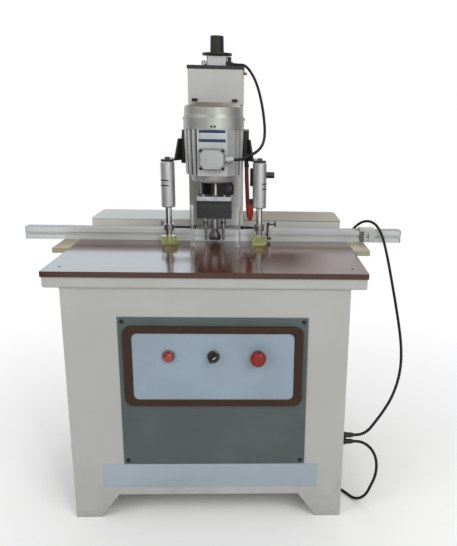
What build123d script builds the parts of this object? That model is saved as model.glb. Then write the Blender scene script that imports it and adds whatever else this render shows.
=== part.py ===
from build123d import *

import os
from math import acos, cos, dist, hypot, pi, radians, sin, tan

os.makedirs("parts", exist_ok=True)

# Hinge boring machine, in millimetres. The origin is on the floor under the middle of the
# machine, +X to the right, +Y to the back and +Z up. The operator stands at -Y.

# Clearances: a running fit, a seat that stays just apart, and a plain gap
fit = 0.05
seat_gap = 0.3
free_gap = 3

# Table and cabinet
table_height = 693
board_thickness = 14
jig_hole_radius = 4
jig_hole_edge = 34
jig_hole_inset = 50
frame_width = 795
board_overhang = 2.5
frame_height = 29
frame_inset = 4
frame_sheet = 3
frame_flange = 55
frame_edge_radius = 7
cabinet_width = 718
cabinet_depth = 600
cabinet_inset = 12
cabinet_sheet = 3
arch_height = 70
foot_width = 67
arch_slope = 51

# Front panel and its controls
panel_width = 478
panel_height = 411
panel_bottom = 164
panel_offset = 16
panel_thickness = 2
panel_overlap = 22
screw_inset = 11
screw_radius = 2.5
screw_head_radius = 5
screw_head_height = 3.5
bezel_width = 454
bezel_height = 216
bezel_bottom = 336
bezel_thickness = 8
bezel_corner = 22
plate_width = 409
plate_height = 180
plate_thickness = 5
plate_corner = 14
device_height = 474
device_spacing = 113
device_radius = 11
device_depth = 45
flange_radius = 16
flange_thickness = 6
lens_radius = 12.5
lens_seat = 4
lens_reach = 9
selector_stem = 5
selector_radius = 14
selector_disc = 5
selector_grip = 13
selector_grip_width = 9
selector_grip_length = 25
collar_reach = 12
button_stem = 8
button_travel = 5
button_radius = 20
button_cap = 14

# Fence and its stops
fence_setback = 383
fence_length = 1127
fence_depth = 40
fence_height = 35.5
fence_end_radius = 9
fence_slot_width = 8
fence_slot_depth = 6
fence_slot_height = 18
fence_top_slot = 24
fence_core_depth = 18
fence_core_height = 14
wing_reach = 48
wing_length = 179
wing_start = 261
wing_lip = 7
left_stop_place = -140
right_stop_place = 160.5
stop_width = 13
stop_plate = 7
stop_post_width = 8
stop_post_height = 16
stop_screw_radius = 2.5
stop_screw_length = 17
bracket_end = 104.5
bracket_width = 46
bracket_plate = 5
bracket_slot = 9

# Column, feed and slide
spindle_setback = 22
motor_foot_height = 90
slide_thickness = 12
slide_width = 164
slide_lift = 31
slide_height = 296
guide_height = 30
rail_width = 20
rail_height = 17.5
rail_spacing = 104
rail_lift = 80
carriage_width = 44
carriage_length = 60
carriage_grip = 25
carriage_pitch = 120
carriage_lift = 116
feed_stroke = 60
column_width = 158
column_depth = 120
column_height = 508
column_wall = 6
column_corner = 5
column_foot_reach = 30
column_foot_thickness = 10
deck_width = 776
deck_depth = 182
deck_rise = 49.5
deck_sheet = 2
deck_corner = 18
hood_height = 100
hood_depth = 38
hood_sheet = 2
top_plate_thickness = 10
top_plate_lip = 2
feed_rod_radius = 8
feed_bore = 25
feed_barrel = 30
feed_barrel_length = 187
feed_block_width = 60
feed_block_depth = 56
feed_block_height = 31
feed_head = 12
feed_piston = 20
feed_lug_width = 40
feed_lug_height = 30
feed_lug_lift = 138
feed_nut_radius = 13
feed_nut_height = 12
knob_disc_radius = 45
knob_disc_thickness = 6
knob_boss_radius = 18
knob_boss_height = 3
knob_base_radius = 20.8
knob_top_radius = 20
knob_height = 49.5

# Drilling head: spindles, gears and gearbox
pattern_width = 52
pattern_offset = 5.5
gear_teeth = 18
gear_width = 16
gear_backlash = 0.16
tip_clearance = 7
socket_lift = 42
socket_length = 28
socket_depth = 22
centre_socket = 10.5
side_socket = 7.5
bit_shank = 5
side_bit = 4
cup_radius = 17.5
cup_height = 11
cup_point = 3
case_gap = 7
case_width = 100
case_depth = 70
case_height = 51
case_wall = 5
case_floor = 14
case_corner = 3
cover_thickness = 14
cover_chamfer = 2
neck_radius = 25
neck_wall = 9
neck_height = 19
spindle_neck = 6
bearing_radius = 11.5
bearing_width = 10
spindle_relief = 2
stub_radius = 5
stub_length = 14
collar_gap = 4
collar_radius = 41
collar_height = 35
collar_lug_reach = 58
collar_lug_depth = 38
collar_lug_front = 41
collar_web = 52
collar_split = 3
collar_bolt = 5
collar_bolt_head = 11
collar_bolt_seat = 11
collar_bolt_inset = 15

# Motor
shield_height = 22
shield_radius = 66
motor_length = 126
motor_core = 70
motor_bore = 64
fin_radius = 83.5
fin_count = 26
fin_start = 9
fin_thickness = 10
fin_taper = 3.5
fin_taper_height = 100
pad_width = 82
facet_angle = 48
pad_front = 82
foot_spacing = 86
motor_foot_width = 28
motor_foot_margin = 10
stator_bore = 45
stator_length = 85
stator_lift = 19
air_gap = 1
shaft_radius = 10
motor_bearing = 23
end_bearing = 20
end_plate = 8
cowl_radius = 85.5
cowl_step = 3
cowl_slope = 9
cowl_lower_height = 30
cowl_height = 71
cowl_sheet = 2
cowl_crown = 58
cowl_rise = 12
cowl_round = 5
fan_radius = 62
fan_hub = 16
fan_width = 20
fan_lift = 6
fan_blades = 8
fan_blade = 3
vent_rings = [22, 34, 46]
vent_radius = 3
box_width = 70
box_height = 58
box_depth = 22
box_lift = 18
box_corner = 5
lid_thickness = 5
lid_margin = 4
lid_corner = 11
box_gland_radius = 10
box_gland_length = 24
box_gland_tip = 6

# Control gear in the cabinet: a plate on standoffs, and each unit as place, height over the plate's
# lower edge, width, height and depth
gear_plate_width = 320
gear_plate_height = 330
gear_plate_bottom = 190
gear_plate_thickness = 3
gear_standoff = 20
gear_standoff_radius = 6
gear_standoff_inset = 20
contactor = (-95, 205, 60, 85, 80)
overload_relay = (-95, 130, 60, 70, 75)
transformer = (70, 205, 100, 90, 80)
terminal_row = (0, 30, 240, 30, 45)
air_valve = (75, 90, 110, 55, 50)

# Hold-downs and guard
clamp_spacing = 262
clamp_setback = 23
cylinder_radius = 20
cylinder_length = 130
cylinder_lift = 108
cylinder_chamfer = 3
cylinder_bore = 16
cylinder_end = 12
nose_radius = 5
nose_length = 13
nut_flats = 13
nut_height = 6
clamp_rod = 9
clamp_piston = 15
clamp_piston_lift = 19
foot_height = 25
foot_top_radius = 23.5
foot_base_radius = 22.5
foot_base = 6
arm_offset = 6.5
arm_thickness = 12.5
arm_drop = 10
arm_shoulder = 61
arm_rise = 84
arm_top_run = 42
arm_pad_length = 80
arm_pad_margin = 10
arm_front_gap = 48
arm_low_step = 12
arm_lug_run = 45
lug_thickness = 5
lug_radius = 18
web_thickness = 5
web_top = 14
web_clear = 17
web_back = 21
arm_collar_radius = 14.5
arm_collar_height = 17
arm_collar_lift = 41
cross_rod = 3.5
cross_nut = 5.5
cross_nut_width = 6
guard_width = 140
guard_offset = 7
guard_height = 117
guard_lift = 6
guard_front = 88
guard_back = 7
guard_sheet = 4
guard_bend = 12

# Cords, glands and air
cord_radius = 4
gland_setback = 60
gland_height = 221
gland_pitch = 19.5
gland_radius = 8.5
gland_neck = 7
gland_tip = 5.5
gland_nut = 14
gland_body = 12
gland_taper = 8
gland_thread = 6
gland_inside = 8
deck_gland_setback = 64
elbow_reach = 14
elbow_length = 26
deck_gland_lift = 21
top_gland_place = 31
top_gland_setback = 26
top_gland_lift = 8
top_gland_width = 16
top_gland_block = 10
top_gland_nut = 8
coil_radius = 60
coil_pitch = 10.4
coil_layer = 9.4
coil_half_turns = 7
coil_x = 215
coil_setback = 330
floor_gap = 0.2
plug_width = 34
plug_height = 26
plug_length = 40
plug_neck = 32
plug_neck_radius = 10
plug_pin_width = 6.4
plug_pin_thickness = 1.6
plug_pin_length = 18
plug_pin_spacing = 16
hose_place = 93
hose_setback = 408
hose_radius = 6
hose_fitting_radius = 7
hose_fitting_length = 10
port_lift = 19
port_radius = 5
port_reach = 3
regulator_drop = 18
regulator_length = 51
regulator_radius = 4
regulator_reach = 3.5
top_port_radius = 4
top_port_gap = 13
fitting_radius = 6
feed_elbow_height = 19
throttle_lift = 95
throttle_radius = 9
throttle_length = 22
nipple_radius = 4
nipple_length = 11
inlet_bore = 4.05
inlet_depth = 16
inlet_radius = 8
inlet_reach = 24
inlet_height = 300
inlet_place = -220

# Places that follow from the sizes above. The front is the mushroom button and the back is the
# rear deck, and the origin lies midway between them.
button_reach = collar_reach + button_travel + seat_gap + button_cap
front_reach = panel_thickness + plate_thickness + button_reach - cabinet_inset
deck_start = fence_setback - spindle_setback + motor_foot_height + slide_thickness + free_gap
table_front = front_reach - (front_reach + deck_start + deck_depth) / 2

table_width = frame_width + 2 * board_overhang
jig_hole_spacing = table_width - 2 * jig_hole_edge
frame_top = table_height - board_thickness
cabinet_height = frame_top - frame_height
cabinet_front_y = table_front + cabinet_inset
cabinet_back_y = cabinet_front_y + cabinet_depth
panel_front_y = cabinet_front_y - panel_thickness
plate_front_y = panel_front_y - plate_thickness
panel_middle = panel_bottom + panel_height / 2
bezel_middle = bezel_bottom + bezel_height / 2
lamp_x = panel_offset - device_spacing
button_x = panel_offset + device_spacing

fence_front_y = table_front + fence_setback
fence_back_y = fence_front_y + fence_depth
fence_top = table_height + fence_height
bracket_place = fence_length / 2 - bracket_end
spindle_y = fence_front_y - spindle_setback
slide_front_y = spindle_y + motor_foot_height
slide_back_y = slide_front_y + slide_thickness
deck_front_y = slide_back_y + free_gap
deck_back_y = deck_front_y + deck_depth
deck_top = frame_top + board_thickness + deck_rise
column_front_y = slide_back_y + guide_height
column_back_y = column_front_y + column_depth
column_top = frame_top + column_height
feed_y = (column_front_y + column_back_y) / 2
hood_front_y = column_front_y - hood_depth
hood_bottom = column_top - hood_height
plate_top = column_top + top_plate_thickness
block_top = plate_top + feed_block_height
barrel_bottom = column_top - feed_barrel_length
slide_bottom = table_height + slide_lift
slide_top = slide_bottom + slide_height
lug_bottom = slide_bottom + feed_lug_lift
lug_top = lug_bottom + feed_lug_height

side_spindle_x = pattern_width / 2
side_spindle_y = spindle_y - pattern_offset
gear_module = hypot(side_spindle_x, pattern_offset) / gear_teeth
tip_z = table_height + tip_clearance
socket_bottom = table_height + socket_lift
socket_top = socket_bottom + socket_length
case_bottom = socket_top + case_gap
case_top = case_bottom + case_height
cover_top = case_top + cover_thickness
collar_bottom = cover_top + collar_gap
collar_top = collar_bottom + collar_height
neck_top = cover_top + neck_height
case_front_y = spindle_y - case_depth / 2
case_back_y = spindle_y + case_depth / 2
gear_bottom = case_bottom + case_floor + (case_height - case_floor - gear_width) / 2
spindle_top = case_top + bearing_width
shaft_bottom = neck_top - stub_length / 2
stub_top = shaft_bottom + stub_length

shield_top = collar_top + shield_height
motor_top = shield_top + motor_length
cowl_top = motor_top + cowl_height
stator_bottom = shield_top + stator_lift
stator_top = stator_bottom + stator_length
pad_front_y = spindle_y - pad_front
box_front_y = pad_front_y - box_depth
box_bottom = shield_top + box_lift
box_middle = box_bottom + box_height / 2

clamp_x = clamp_spacing / 2
clamp_y = spindle_y - clamp_setback
cylinder_bottom = table_height + cylinder_lift
cylinder_top = cylinder_bottom + cylinder_length
arm_inner = column_width / 2 + arm_offset
arm_outer = arm_inner + arm_thickness
arm_front_y = clamp_y + arm_front_gap
arm_bottom = cylinder_top - arm_drop
lug_upper = cylinder_top + lug_thickness
clamp_foot_bottom = table_height + seat_gap
clamp_foot_top = clamp_foot_bottom + foot_height
arm_collar_bottom = table_height + arm_collar_lift
cross_rod_z = arm_collar_bottom + arm_collar_height / 2
guard_bottom = table_height + guard_lift
guard_front_y = spindle_y - guard_front
guard_back_y = clamp_y + guard_back


# Planes: an upright one facing the operator, and one facing right
def upright(y):
    return Plane(origin=(0, y, 0), x_dir=(1, 0, 0), z_dir=(0, -1, 0))


def facing_right(x):
    return Plane(origin=(x, 0, 0), x_dir=(0, 1, 0), z_dir=(1, 0, 0))


# Plain shapes given by their ends, added to the part that is being built
def bar(x0, x1, y0, y1, z0, z1, mode=Mode.ADD):
    with Locations(((x0 + x1) / 2, (y0 + y1) / 2, (z0 + z1) / 2)):
        Box(x1 - x0, y1 - y0, z1 - z0, mode=mode)


def post(x, y, z0, z1, radius, mode=Mode.ADD):
    with Locations((x, y, (z0 + z1) / 2)):
        Cylinder(radius, z1 - z0, mode=mode)


def rod_along_x(x0, x1, y, z, radius, mode=Mode.ADD):
    with Locations(((x0 + x1) / 2, y, z)):
        Cylinder(radius, abs(x1 - x0), rotation=(0, 90, 0), mode=mode)


def rod_along_y(x, y0, y1, z, radius, mode=Mode.ADD):
    with Locations((x, (y0 + y1) / 2, z)):
        Cylinder(radius, y1 - y0, rotation=(90, 0, 0), mode=mode)


# A turned shape on an upright axis, from corners given as radius and height
def turned(x, y, *corners, mode=Mode.ADD):
    half_plane = Plane(origin=(x, y, 0), x_dir=(1, 0, 0), z_dir=(0, -1, 0))
    with BuildSketch(half_plane) as outline:
        with BuildLine():
            Polyline(*corners, close=True)
        make_face()
    revolve(outline.sketch, axis=Axis((x, y, 0), (0, 0, 1)), mode=mode)


# A turned shape on an axis along X, from corners given as distance along X and radius
def turned_along_x(x, y, z, *corners, mode=Mode.ADD):
    half_plane = Plane(origin=(x, y, z), x_dir=(1, 0, 0), z_dir=(0, -1, 0))
    with BuildSketch(half_plane) as outline:
        with BuildLine():
            Polyline(*corners, close=True)
        make_face()
    revolve(outline.sketch, axis=Axis((x, y, z), (1, 0, 0)), mode=mode)


# A cabinet sheet standing on two feet with an arch between them
def arched_outline(length):
    half = length / 2
    inner = half - foot_width
    crown = inner - arch_slope
    with BuildLine() as edge:
        Polyline(
            (-half, 0), (-inner, 0), (-crown, arch_height), (crown, arch_height),
            (inner, 0), (half, 0), (half, cabinet_height), (-half, cabinet_height),
            close=True,
        )
    make_face(edge.edges())


# Cabinet
with BuildPart() as cabinet_front:
    with BuildSketch(upright(cabinet_front_y)):
        arched_outline(cabinet_width)
        with Locations((panel_offset, panel_middle)):
            Rectangle(
                panel_width - 2 * panel_overlap, panel_height - 2 * panel_overlap,
                mode=Mode.SUBTRACT,
            )
            with GridLocations(panel_width - 2 * screw_inset, panel_height - 2 * screw_inset, 2, 2):
                Circle(screw_radius + fit, mode=Mode.SUBTRACT)
    extrude(amount=-cabinet_sheet)
cabinet_front.part.label = "cabinet_front"
export_step(cabinet_front.part, "parts/cabinet_front.step")

gland_y = table_front + gland_setback
gland_heights = [gland_height, gland_height - gland_pitch]
side_middle = (cabinet_front_y + cabinet_back_y) / 2
with BuildPart() as cabinet_panels:
    for side in (-1, 1):
        side_place = (side * cabinet_width / 2, side_middle, 0)
        side_plane = Plane(origin=side_place, x_dir=(0, side, 0), z_dir=(side, 0, 0))
        with BuildSketch(side_plane):
            arched_outline(cabinet_depth - 2 * cabinet_sheet - 2 * seat_gap)
        extrude(amount=-cabinet_sheet)
    with BuildSketch(upright(cabinet_back_y)):
        arched_outline(cabinet_width)
        with Locations((inlet_place, inlet_height)):
            Circle(gland_thread + fit, mode=Mode.SUBTRACT)
    extrude(amount=cabinet_sheet)
    for height in gland_heights:
        rod_along_x(
            cabinet_width / 2 - 2 * cabinet_sheet, cabinet_width / 2 + cabinet_sheet,
            gland_y, height, gland_thread + fit, mode=Mode.SUBTRACT,
        )
cabinet_panels.part.label = "cabinet_panels"
export_step(cabinet_panels.part, "parts/cabinet_panels.step")

with BuildPart() as cabinet_floor:
    bar(
        cabinet_sheet - cabinet_width / 2, cabinet_width / 2 - cabinet_sheet,
        cabinet_front_y + cabinet_sheet, cabinet_back_y - cabinet_sheet,
        arch_height + cabinet_sheet, arch_height + 2 * cabinet_sheet,
    )
cabinet_floor.part.label = "cabinet_floor"
export_step(cabinet_floor.part, "parts/cabinet_floor.step")

# Table frame: a ring of folded channel, closed on top at the back where the column stands
with BuildPart() as table_frame:
    frame_front_y = table_front + frame_inset
    bar(
        -frame_width / 2, frame_width / 2, frame_front_y, deck_back_y,
        cabinet_height, frame_top,
    )
    fillet(table_frame.faces().sort_by(Axis.Z)[0].edges(), frame_edge_radius)
    bar(
        frame_sheet - frame_width / 2, frame_width / 2 - frame_sheet,
        frame_front_y + frame_sheet, deck_back_y - frame_sheet,
        cabinet_height + frame_sheet, frame_top - frame_sheet, mode=Mode.SUBTRACT,
    )
    bar(
        frame_flange - frame_width / 2, frame_width / 2 - frame_flange,
        frame_front_y + frame_flange, cabinet_back_y - frame_flange,
        cabinet_height, cabinet_height + frame_sheet, mode=Mode.SUBTRACT,
    )
    bar(
        frame_flange - frame_width / 2, frame_width / 2 - frame_flange,
        frame_front_y + frame_flange, deck_front_y - frame_flange,
        frame_top - frame_sheet, frame_top, mode=Mode.SUBTRACT,
    )
table_frame.part.label = "table_frame"
export_step(table_frame.part, "parts/table_frame.step")

with BuildPart() as table_top:
    bar(-table_width / 2, table_width / 2, table_front, deck_front_y, frame_top, table_height)
    with Locations((0, table_front + jig_hole_inset, table_height)):
        with GridLocations(jig_hole_spacing, 1, 2, 1):
            Hole(jig_hole_radius, depth=board_thickness)
table_top.part.label = "table_top"
export_step(table_top.part, "parts/table_top.step")

# Wings beside the board, hung on the frame's skirt by a lip
with BuildPart() as fence_wings:
    for side in (-1, 1):
        wing_xs = sorted([side * table_width / 2, side * (table_width / 2 + wing_reach)])
        lip_xs = sorted([side * frame_width / 2, side * (frame_width / 2 + wing_lip)])
        wing_y = table_front + wing_start
        bar(*wing_xs, wing_y, wing_y + wing_length, frame_top, table_height)
        bar(*lip_xs, wing_y, wing_y + wing_length, cabinet_height + frame_edge_radius, frame_top)
fence_wings.part.label = "fence_wings"
export_step(fence_wings.part, "parts/fence_wings.step")

# Rear deck: an inverted sheet tray with a cut-out for the column
deck_gland_y = deck_front_y + deck_gland_setback
deck_gland_z = frame_top + deck_gland_lift
with BuildPart() as rear_deck:
    bar(-deck_width / 2, deck_width / 2, deck_front_y, deck_back_y, frame_top, deck_top)
    fillet(rear_deck.edges().filter_by(Axis.Z), deck_corner)
    with BuildSketch(Plane.XY.offset(frame_top)):
        with Locations((0, (deck_front_y + deck_back_y) / 2)):
            RectangleRounded(
                deck_width - 2 * deck_sheet, deck_depth - 2 * deck_sheet, deck_corner - deck_sheet,
            )
    extrude(amount=deck_top - deck_sheet - frame_top, mode=Mode.SUBTRACT)
    bar(
        -column_width / 2 - seat_gap, column_width / 2 + seat_gap,
        column_front_y - seat_gap, column_back_y + seat_gap,
        deck_top - deck_sheet, deck_top, mode=Mode.SUBTRACT,
    )
    rod_along_x(
        deck_width / 2 - 2 * deck_sheet, deck_width / 2 + deck_sheet,
        deck_gland_y, deck_gland_z, gland_thread + fit, mode=Mode.SUBTRACT,
    )
rear_deck.part.label = "rear_deck"
export_step(rear_deck.part, "parts/rear_deck.step")

# Front panel
device_places = [(lamp_x, device_height), (panel_offset, device_height), (button_x, device_height)]
with BuildPart() as front_panel:
    with BuildSketch(upright(panel_front_y)):
        with Locations((panel_offset, panel_middle)):
            Rectangle(panel_width, panel_height)
            with GridLocations(panel_width - 2 * screw_inset, panel_height - 2 * screw_inset, 2, 2):
                Circle(screw_radius + fit, mode=Mode.SUBTRACT)
        with Locations(*device_places):
            Circle(device_radius + fit, mode=Mode.SUBTRACT)
    extrude(amount=-panel_thickness)
front_panel.part.label = "front_panel"
export_step(front_panel.part, "parts/front_panel.step")

with BuildPart() as panel_screws:
    with BuildSketch(upright(panel_front_y)) as screw_heads:
        with Locations((panel_offset, panel_middle)):
            with GridLocations(panel_width - 2 * screw_inset, panel_height - 2 * screw_inset, 2, 2):
                Circle(screw_head_radius)
    extrude(amount=screw_head_height)
    with BuildSketch(upright(panel_front_y)) as screw_shanks:
        with Locations((panel_offset, panel_middle)):
            with GridLocations(panel_width - 2 * screw_inset, panel_height - 2 * screw_inset, 2, 2):
                Circle(screw_radius)
    extrude(amount=-(panel_thickness + 3 * cabinet_sheet))
    fillet(
        panel_screws.faces().filter_by(GeomType.PLANE).group_by(Axis.Y)[0].edges(),
        screw_head_height / 3,
    )
panel_screws.part.label = "panel_screws"
export_step(panel_screws.part, "parts/panel_screws.step")

with BuildPart() as control_bezel:
    with BuildSketch(upright(panel_front_y)):
        with Locations((panel_offset, bezel_middle)):
            RectangleRounded(bezel_width, bezel_height, bezel_corner)
            RectangleRounded(
                plate_width + 2 * seat_gap, plate_height + 2 * seat_gap, plate_corner + seat_gap,
                mode=Mode.SUBTRACT,
            )
    extrude(amount=bezel_thickness)
    chamfer(
        control_bezel.faces().sort_by(Axis.Y)[0].edges(),
        (bezel_thickness - plate_thickness) * 0.6,
    )
control_bezel.part.label = "control_bezel"
export_step(control_bezel.part, "parts/control_bezel.step")

with BuildPart() as control_plate:
    with BuildSketch(upright(panel_front_y)):
        with Locations((panel_offset, bezel_middle)):
            RectangleRounded(plate_width, plate_height, plate_corner)
        with Locations(*device_places):
            Circle(device_radius + fit, mode=Mode.SUBTRACT)
    extrude(amount=plate_thickness)
control_plate.part.label = "control_plate"
export_step(control_plate.part, "parts/control_plate.step")

# Bodies of the lamp and the selector, each with a flange on the plate
flange_front_y = plate_front_y - flange_thickness
device_back_y = panel_front_y + device_depth
with BuildPart() as device_bezels:
    for device_x in (lamp_x, panel_offset):
        rod_along_y(device_x, flange_front_y, plate_front_y, device_height, flange_radius)
        rod_along_y(device_x, plate_front_y, device_back_y, device_height, device_radius)
    fillet(
        device_bezels.faces().filter_by(GeomType.PLANE).group_by(Axis.Y)[0].edges(),
        flange_thickness / 4,
    )
    rod_along_y(
        lamp_x, flange_front_y, flange_front_y + lens_seat, device_height,
        lens_radius + fit, mode=Mode.SUBTRACT,
    )
    rod_along_y(
        panel_offset, flange_front_y, panel_front_y, device_height,
        selector_stem + fit, mode=Mode.SUBTRACT,
    )
device_bezels.part.label = "device_bezels"
export_step(device_bezels.part, "parts/device_bezels.step")

with BuildPart() as lamp_lens:
    rod_along_y(
        lamp_x, flange_front_y - lens_reach, flange_front_y + lens_seat, device_height, lens_radius,
    )
    fillet(lamp_lens.faces().sort_by(Axis.Y)[0].edges(), lens_reach * 0.8)
lamp_lens.part.label = "lamp_lens"
export_step(lamp_lens.part, "parts/lamp_lens.step")

with BuildPart() as selector_knob:
    knob_back_y = flange_front_y - seat_gap
    rod_along_y(panel_offset, knob_back_y - selector_disc, knob_back_y, device_height, selector_radius)
    with BuildSketch(upright(knob_back_y - selector_disc)):
        with Locations((panel_offset, device_height)):
            SlotOverall(selector_grip_length, selector_grip_width, rotation=45)
    extrude(amount=selector_grip)
    fillet(
        selector_knob.faces().sort_by(Axis.Y)[0].edges(),
        selector_grip_width / 6,
    )
    rod_along_y(
        panel_offset, knob_back_y, plate_front_y, device_height, selector_stem,
    )
selector_knob.part.label = "selector_knob"
export_step(selector_knob.part, "parts/selector_knob.step")

collar_front_y = plate_front_y - collar_reach
with BuildPart() as button_collar:
    rod_along_y(button_x, collar_front_y, plate_front_y, device_height, flange_radius)
    fillet(button_collar.faces().sort_by(Axis.Y)[0].edges(), flange_thickness / 4)
    rod_along_y(button_x, plate_front_y, device_back_y, device_height, device_radius)
    rod_along_y(
        button_x, collar_front_y, panel_front_y + button_travel, device_height,
        button_stem + fit, mode=Mode.SUBTRACT,
    )
button_collar.part.label = "button_collar"
export_step(button_collar.part, "parts/button_collar.step")

with BuildPart() as button_head:
    cap_back_y = plate_front_y - button_reach + button_cap
    rod_along_y(button_x, cap_back_y - button_cap, cap_back_y, device_height, button_radius)
    fillet(button_head.faces().sort_by(Axis.Y)[0].edges(), 0.7 * button_cap)
    rod_along_y(button_x, cap_back_y, plate_front_y, device_height, button_stem)
button_head.part.label = "button_head"
export_step(button_head.part, "parts/button_head.step")

# Control gear on its plate, held off the back sheet by four standoffs
gear_face_y = cabinet_back_y - cabinet_sheet - gear_standoff - gear_plate_thickness
with BuildPart() as control_gear:
    bar(
        -gear_plate_width / 2, gear_plate_width / 2, gear_face_y, gear_face_y + gear_plate_thickness,
        gear_plate_bottom, gear_plate_bottom + gear_plate_height,
    )
    with BuildSketch(upright(gear_face_y + gear_plate_thickness)):
        with Locations((0, gear_plate_bottom + gear_plate_height / 2)):
            with GridLocations(
                gear_plate_width - 2 * gear_standoff_inset,
                gear_plate_height - 2 * gear_standoff_inset, 2, 2,
            ):
                Circle(gear_standoff_radius)
    extrude(amount=-gear_standoff)
    for place, lift, width, height, depth in (
        contactor, overload_relay, transformer, terminal_row, air_valve,
    ):
        bar(
            place - width / 2, place + width / 2, gear_face_y - seat_gap - depth, gear_face_y - seat_gap,
            gear_plate_bottom + lift, gear_plate_bottom + lift + height,
        )
control_gear.part.label = "control_gear"
export_step(control_gear.part, "parts/control_gear.step")

# Fence: a grooved hollow beam
slot_middle = table_height + fence_slot_height
with BuildPart() as fence_beam:
    bar(-fence_length / 2, fence_length / 2, fence_front_y, fence_back_y, table_height, fence_top)
    fillet(fence_beam.edges().filter_by(Axis.Z), fence_end_radius)
    bar(
        -fence_length / 2, fence_length / 2, fence_front_y, fence_front_y + fence_slot_depth,
        slot_middle - fence_slot_width / 2, slot_middle + fence_slot_width / 2, mode=Mode.SUBTRACT,
    )
    bar(
        -fence_length / 2, fence_length / 2,
        fence_front_y + fence_top_slot - fence_slot_width / 2,
        fence_front_y + fence_top_slot + fence_slot_width / 2,
        fence_top - fence_slot_depth, fence_top, mode=Mode.SUBTRACT,
    )
    core_y = fence_front_y + fence_slot_depth + (fence_depth - fence_slot_depth) / 2
    core_z = table_height + (fence_height - fence_slot_depth) / 2
    bar(
        -fence_length / 2, fence_length / 2,
        core_y - fence_core_depth / 2, core_y + fence_core_depth / 2,
        core_z - fence_core_height / 2, core_z + fence_core_height / 2, mode=Mode.SUBTRACT,
    )
fence_beam.part.label = "fence_beam"
export_step(fence_beam.part, "parts/fence_beam.step")


# A stop that hooks over the fence, with a tongue in its front groove and a tee screw
def fence_stop(side, middle):
    face_y = fence_front_y - seat_gap
    top = fence_top + seat_gap + stop_plate
    tongue = fence_slot_width / 2 - seat_gap
    bar(
        middle - stop_width / 2, middle + stop_width / 2, face_y - stop_plate, face_y,
        table_height + stop_plate, top,
    )
    bar(
        middle - stop_width / 2, middle + stop_width / 2, face_y - stop_plate,
        fence_front_y + fence_depth / 2, fence_top + seat_gap, top,
    )
    bar(
        middle - stop_width / 2, middle + stop_width / 2, face_y,
        fence_front_y + fence_slot_depth / 2, slot_middle - tongue, slot_middle + tongue,
    )
    post_inner = middle - side * stop_width / 2
    post_outer = post_inner + side * stop_post_width
    bar(
        *sorted([post_inner, post_outer]), face_y - stop_plate, face_y + stop_plate,
        top, top + stop_post_height,
    )
    screw_z = top + stop_post_height * 0.6
    screw_end = post_outer + side * stop_screw_length
    rod_along_x(post_outer, screw_end, face_y, screw_z, stop_screw_radius)
    post(screw_end, face_y, screw_z - stop_post_width, screw_z + stop_post_width, stop_screw_radius)


with BuildPart() as left_stop:
    fence_stop(-1, left_stop_place)
left_stop.part.label = "left_stop"
export_step(left_stop.part, "parts/left_stop.step")

with BuildPart() as right_stop:
    fence_stop(1, right_stop_place)
right_stop.part.label = "right_stop"
export_step(right_stop.part, "parts/right_stop.step")

# Bracket near the fence's right end, which the cable passes over
with BuildPart() as fence_bracket:
    bracket_left = bracket_place - bracket_width / 2
    bracket_right = bracket_place + bracket_width / 2
    bar(
        bracket_left, bracket_right, fence_front_y - bracket_plate, fence_front_y,
        table_height + free_gap, fence_top + bracket_plate,
    )
    bar(
        bracket_left, bracket_right, fence_front_y, fence_back_y,
        fence_top, fence_top + bracket_plate,
    )
    with BuildSketch(upright(fence_front_y)):
        with Locations((bracket_place, table_height + fence_height / 2)):
            SlotOverall(fence_height * 0.7, bracket_slot, rotation=90)
    extrude(amount=bracket_plate, mode=Mode.SUBTRACT)
fence_bracket.part.label = "fence_bracket"
export_step(fence_bracket.part, "parts/fence_bracket.step")

# Column: a box post on a foot plate, with a slot for the feed lug
with BuildPart() as column:
    bar(-column_width / 2, column_width / 2, column_front_y, column_back_y, frame_top, column_top)
    fillet(column.edges().filter_by(Axis.Z), column_corner)
    bar(
        -column_width / 2 - column_foot_reach, column_width / 2 + column_foot_reach,
        column_front_y, column_back_y, frame_top, frame_top + column_foot_thickness,
    )
    bar(
        column_wall - column_width / 2, column_width / 2 - column_wall,
        column_front_y + column_wall, column_back_y - column_wall,
        frame_top + column_foot_thickness, column_top, mode=Mode.SUBTRACT,
    )
    bar(
        -feed_lug_width / 2 - 2 * free_gap, feed_lug_width / 2 + 2 * free_gap,
        column_front_y, column_front_y + column_wall,
        lug_bottom - 2 * free_gap, lug_top + feed_stroke + 2 * free_gap, mode=Mode.SUBTRACT,
    )
column.part.label = "column"
export_step(column.part, "parts/column.step")

hood_half = column_width / 2 + hood_sheet
with BuildPart() as column_cover:
    bar(-hood_half, hood_half, hood_front_y, column_back_y, hood_bottom, column_top)
    fillet(column_cover.edges().filter_by(Axis.Z).group_by(Axis.Y)[0], 2 * hood_sheet)
    bar(
        -column_width / 2, column_width / 2, hood_front_y + hood_sheet, column_back_y,
        hood_bottom, column_top, mode=Mode.SUBTRACT,
    )
column_cover.part.label = "column_cover"
export_step(column_cover.part, "parts/column_cover.step")

with BuildPart() as top_plate:
    bar(
        -hood_half - top_plate_lip, hood_half + top_plate_lip,
        hood_front_y - top_plate_lip, column_back_y + top_plate_lip, column_top, plate_top,
    )
    fillet(top_plate.edges().filter_by(Axis.Z), 2 * top_plate_lip)
    post(0, feed_y, column_top, plate_top, feed_barrel + fit, mode=Mode.SUBTRACT)
top_plate.part.label = "top_plate"
export_step(top_plate.part, "parts/top_plate.step")

with BuildPart() as guide_rails:
    for side in (-1, 1):
        rail_x = side * rail_spacing / 2
        bar(
            rail_x - rail_width / 2, rail_x + rail_width / 2, column_front_y - rail_height,
            column_front_y, slide_bottom + rail_lift, hood_bottom - free_gap,
        )
guide_rails.part.label = "guide_rails"
export_step(guide_rails.part, "parts/guide_rails.step")

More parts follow.
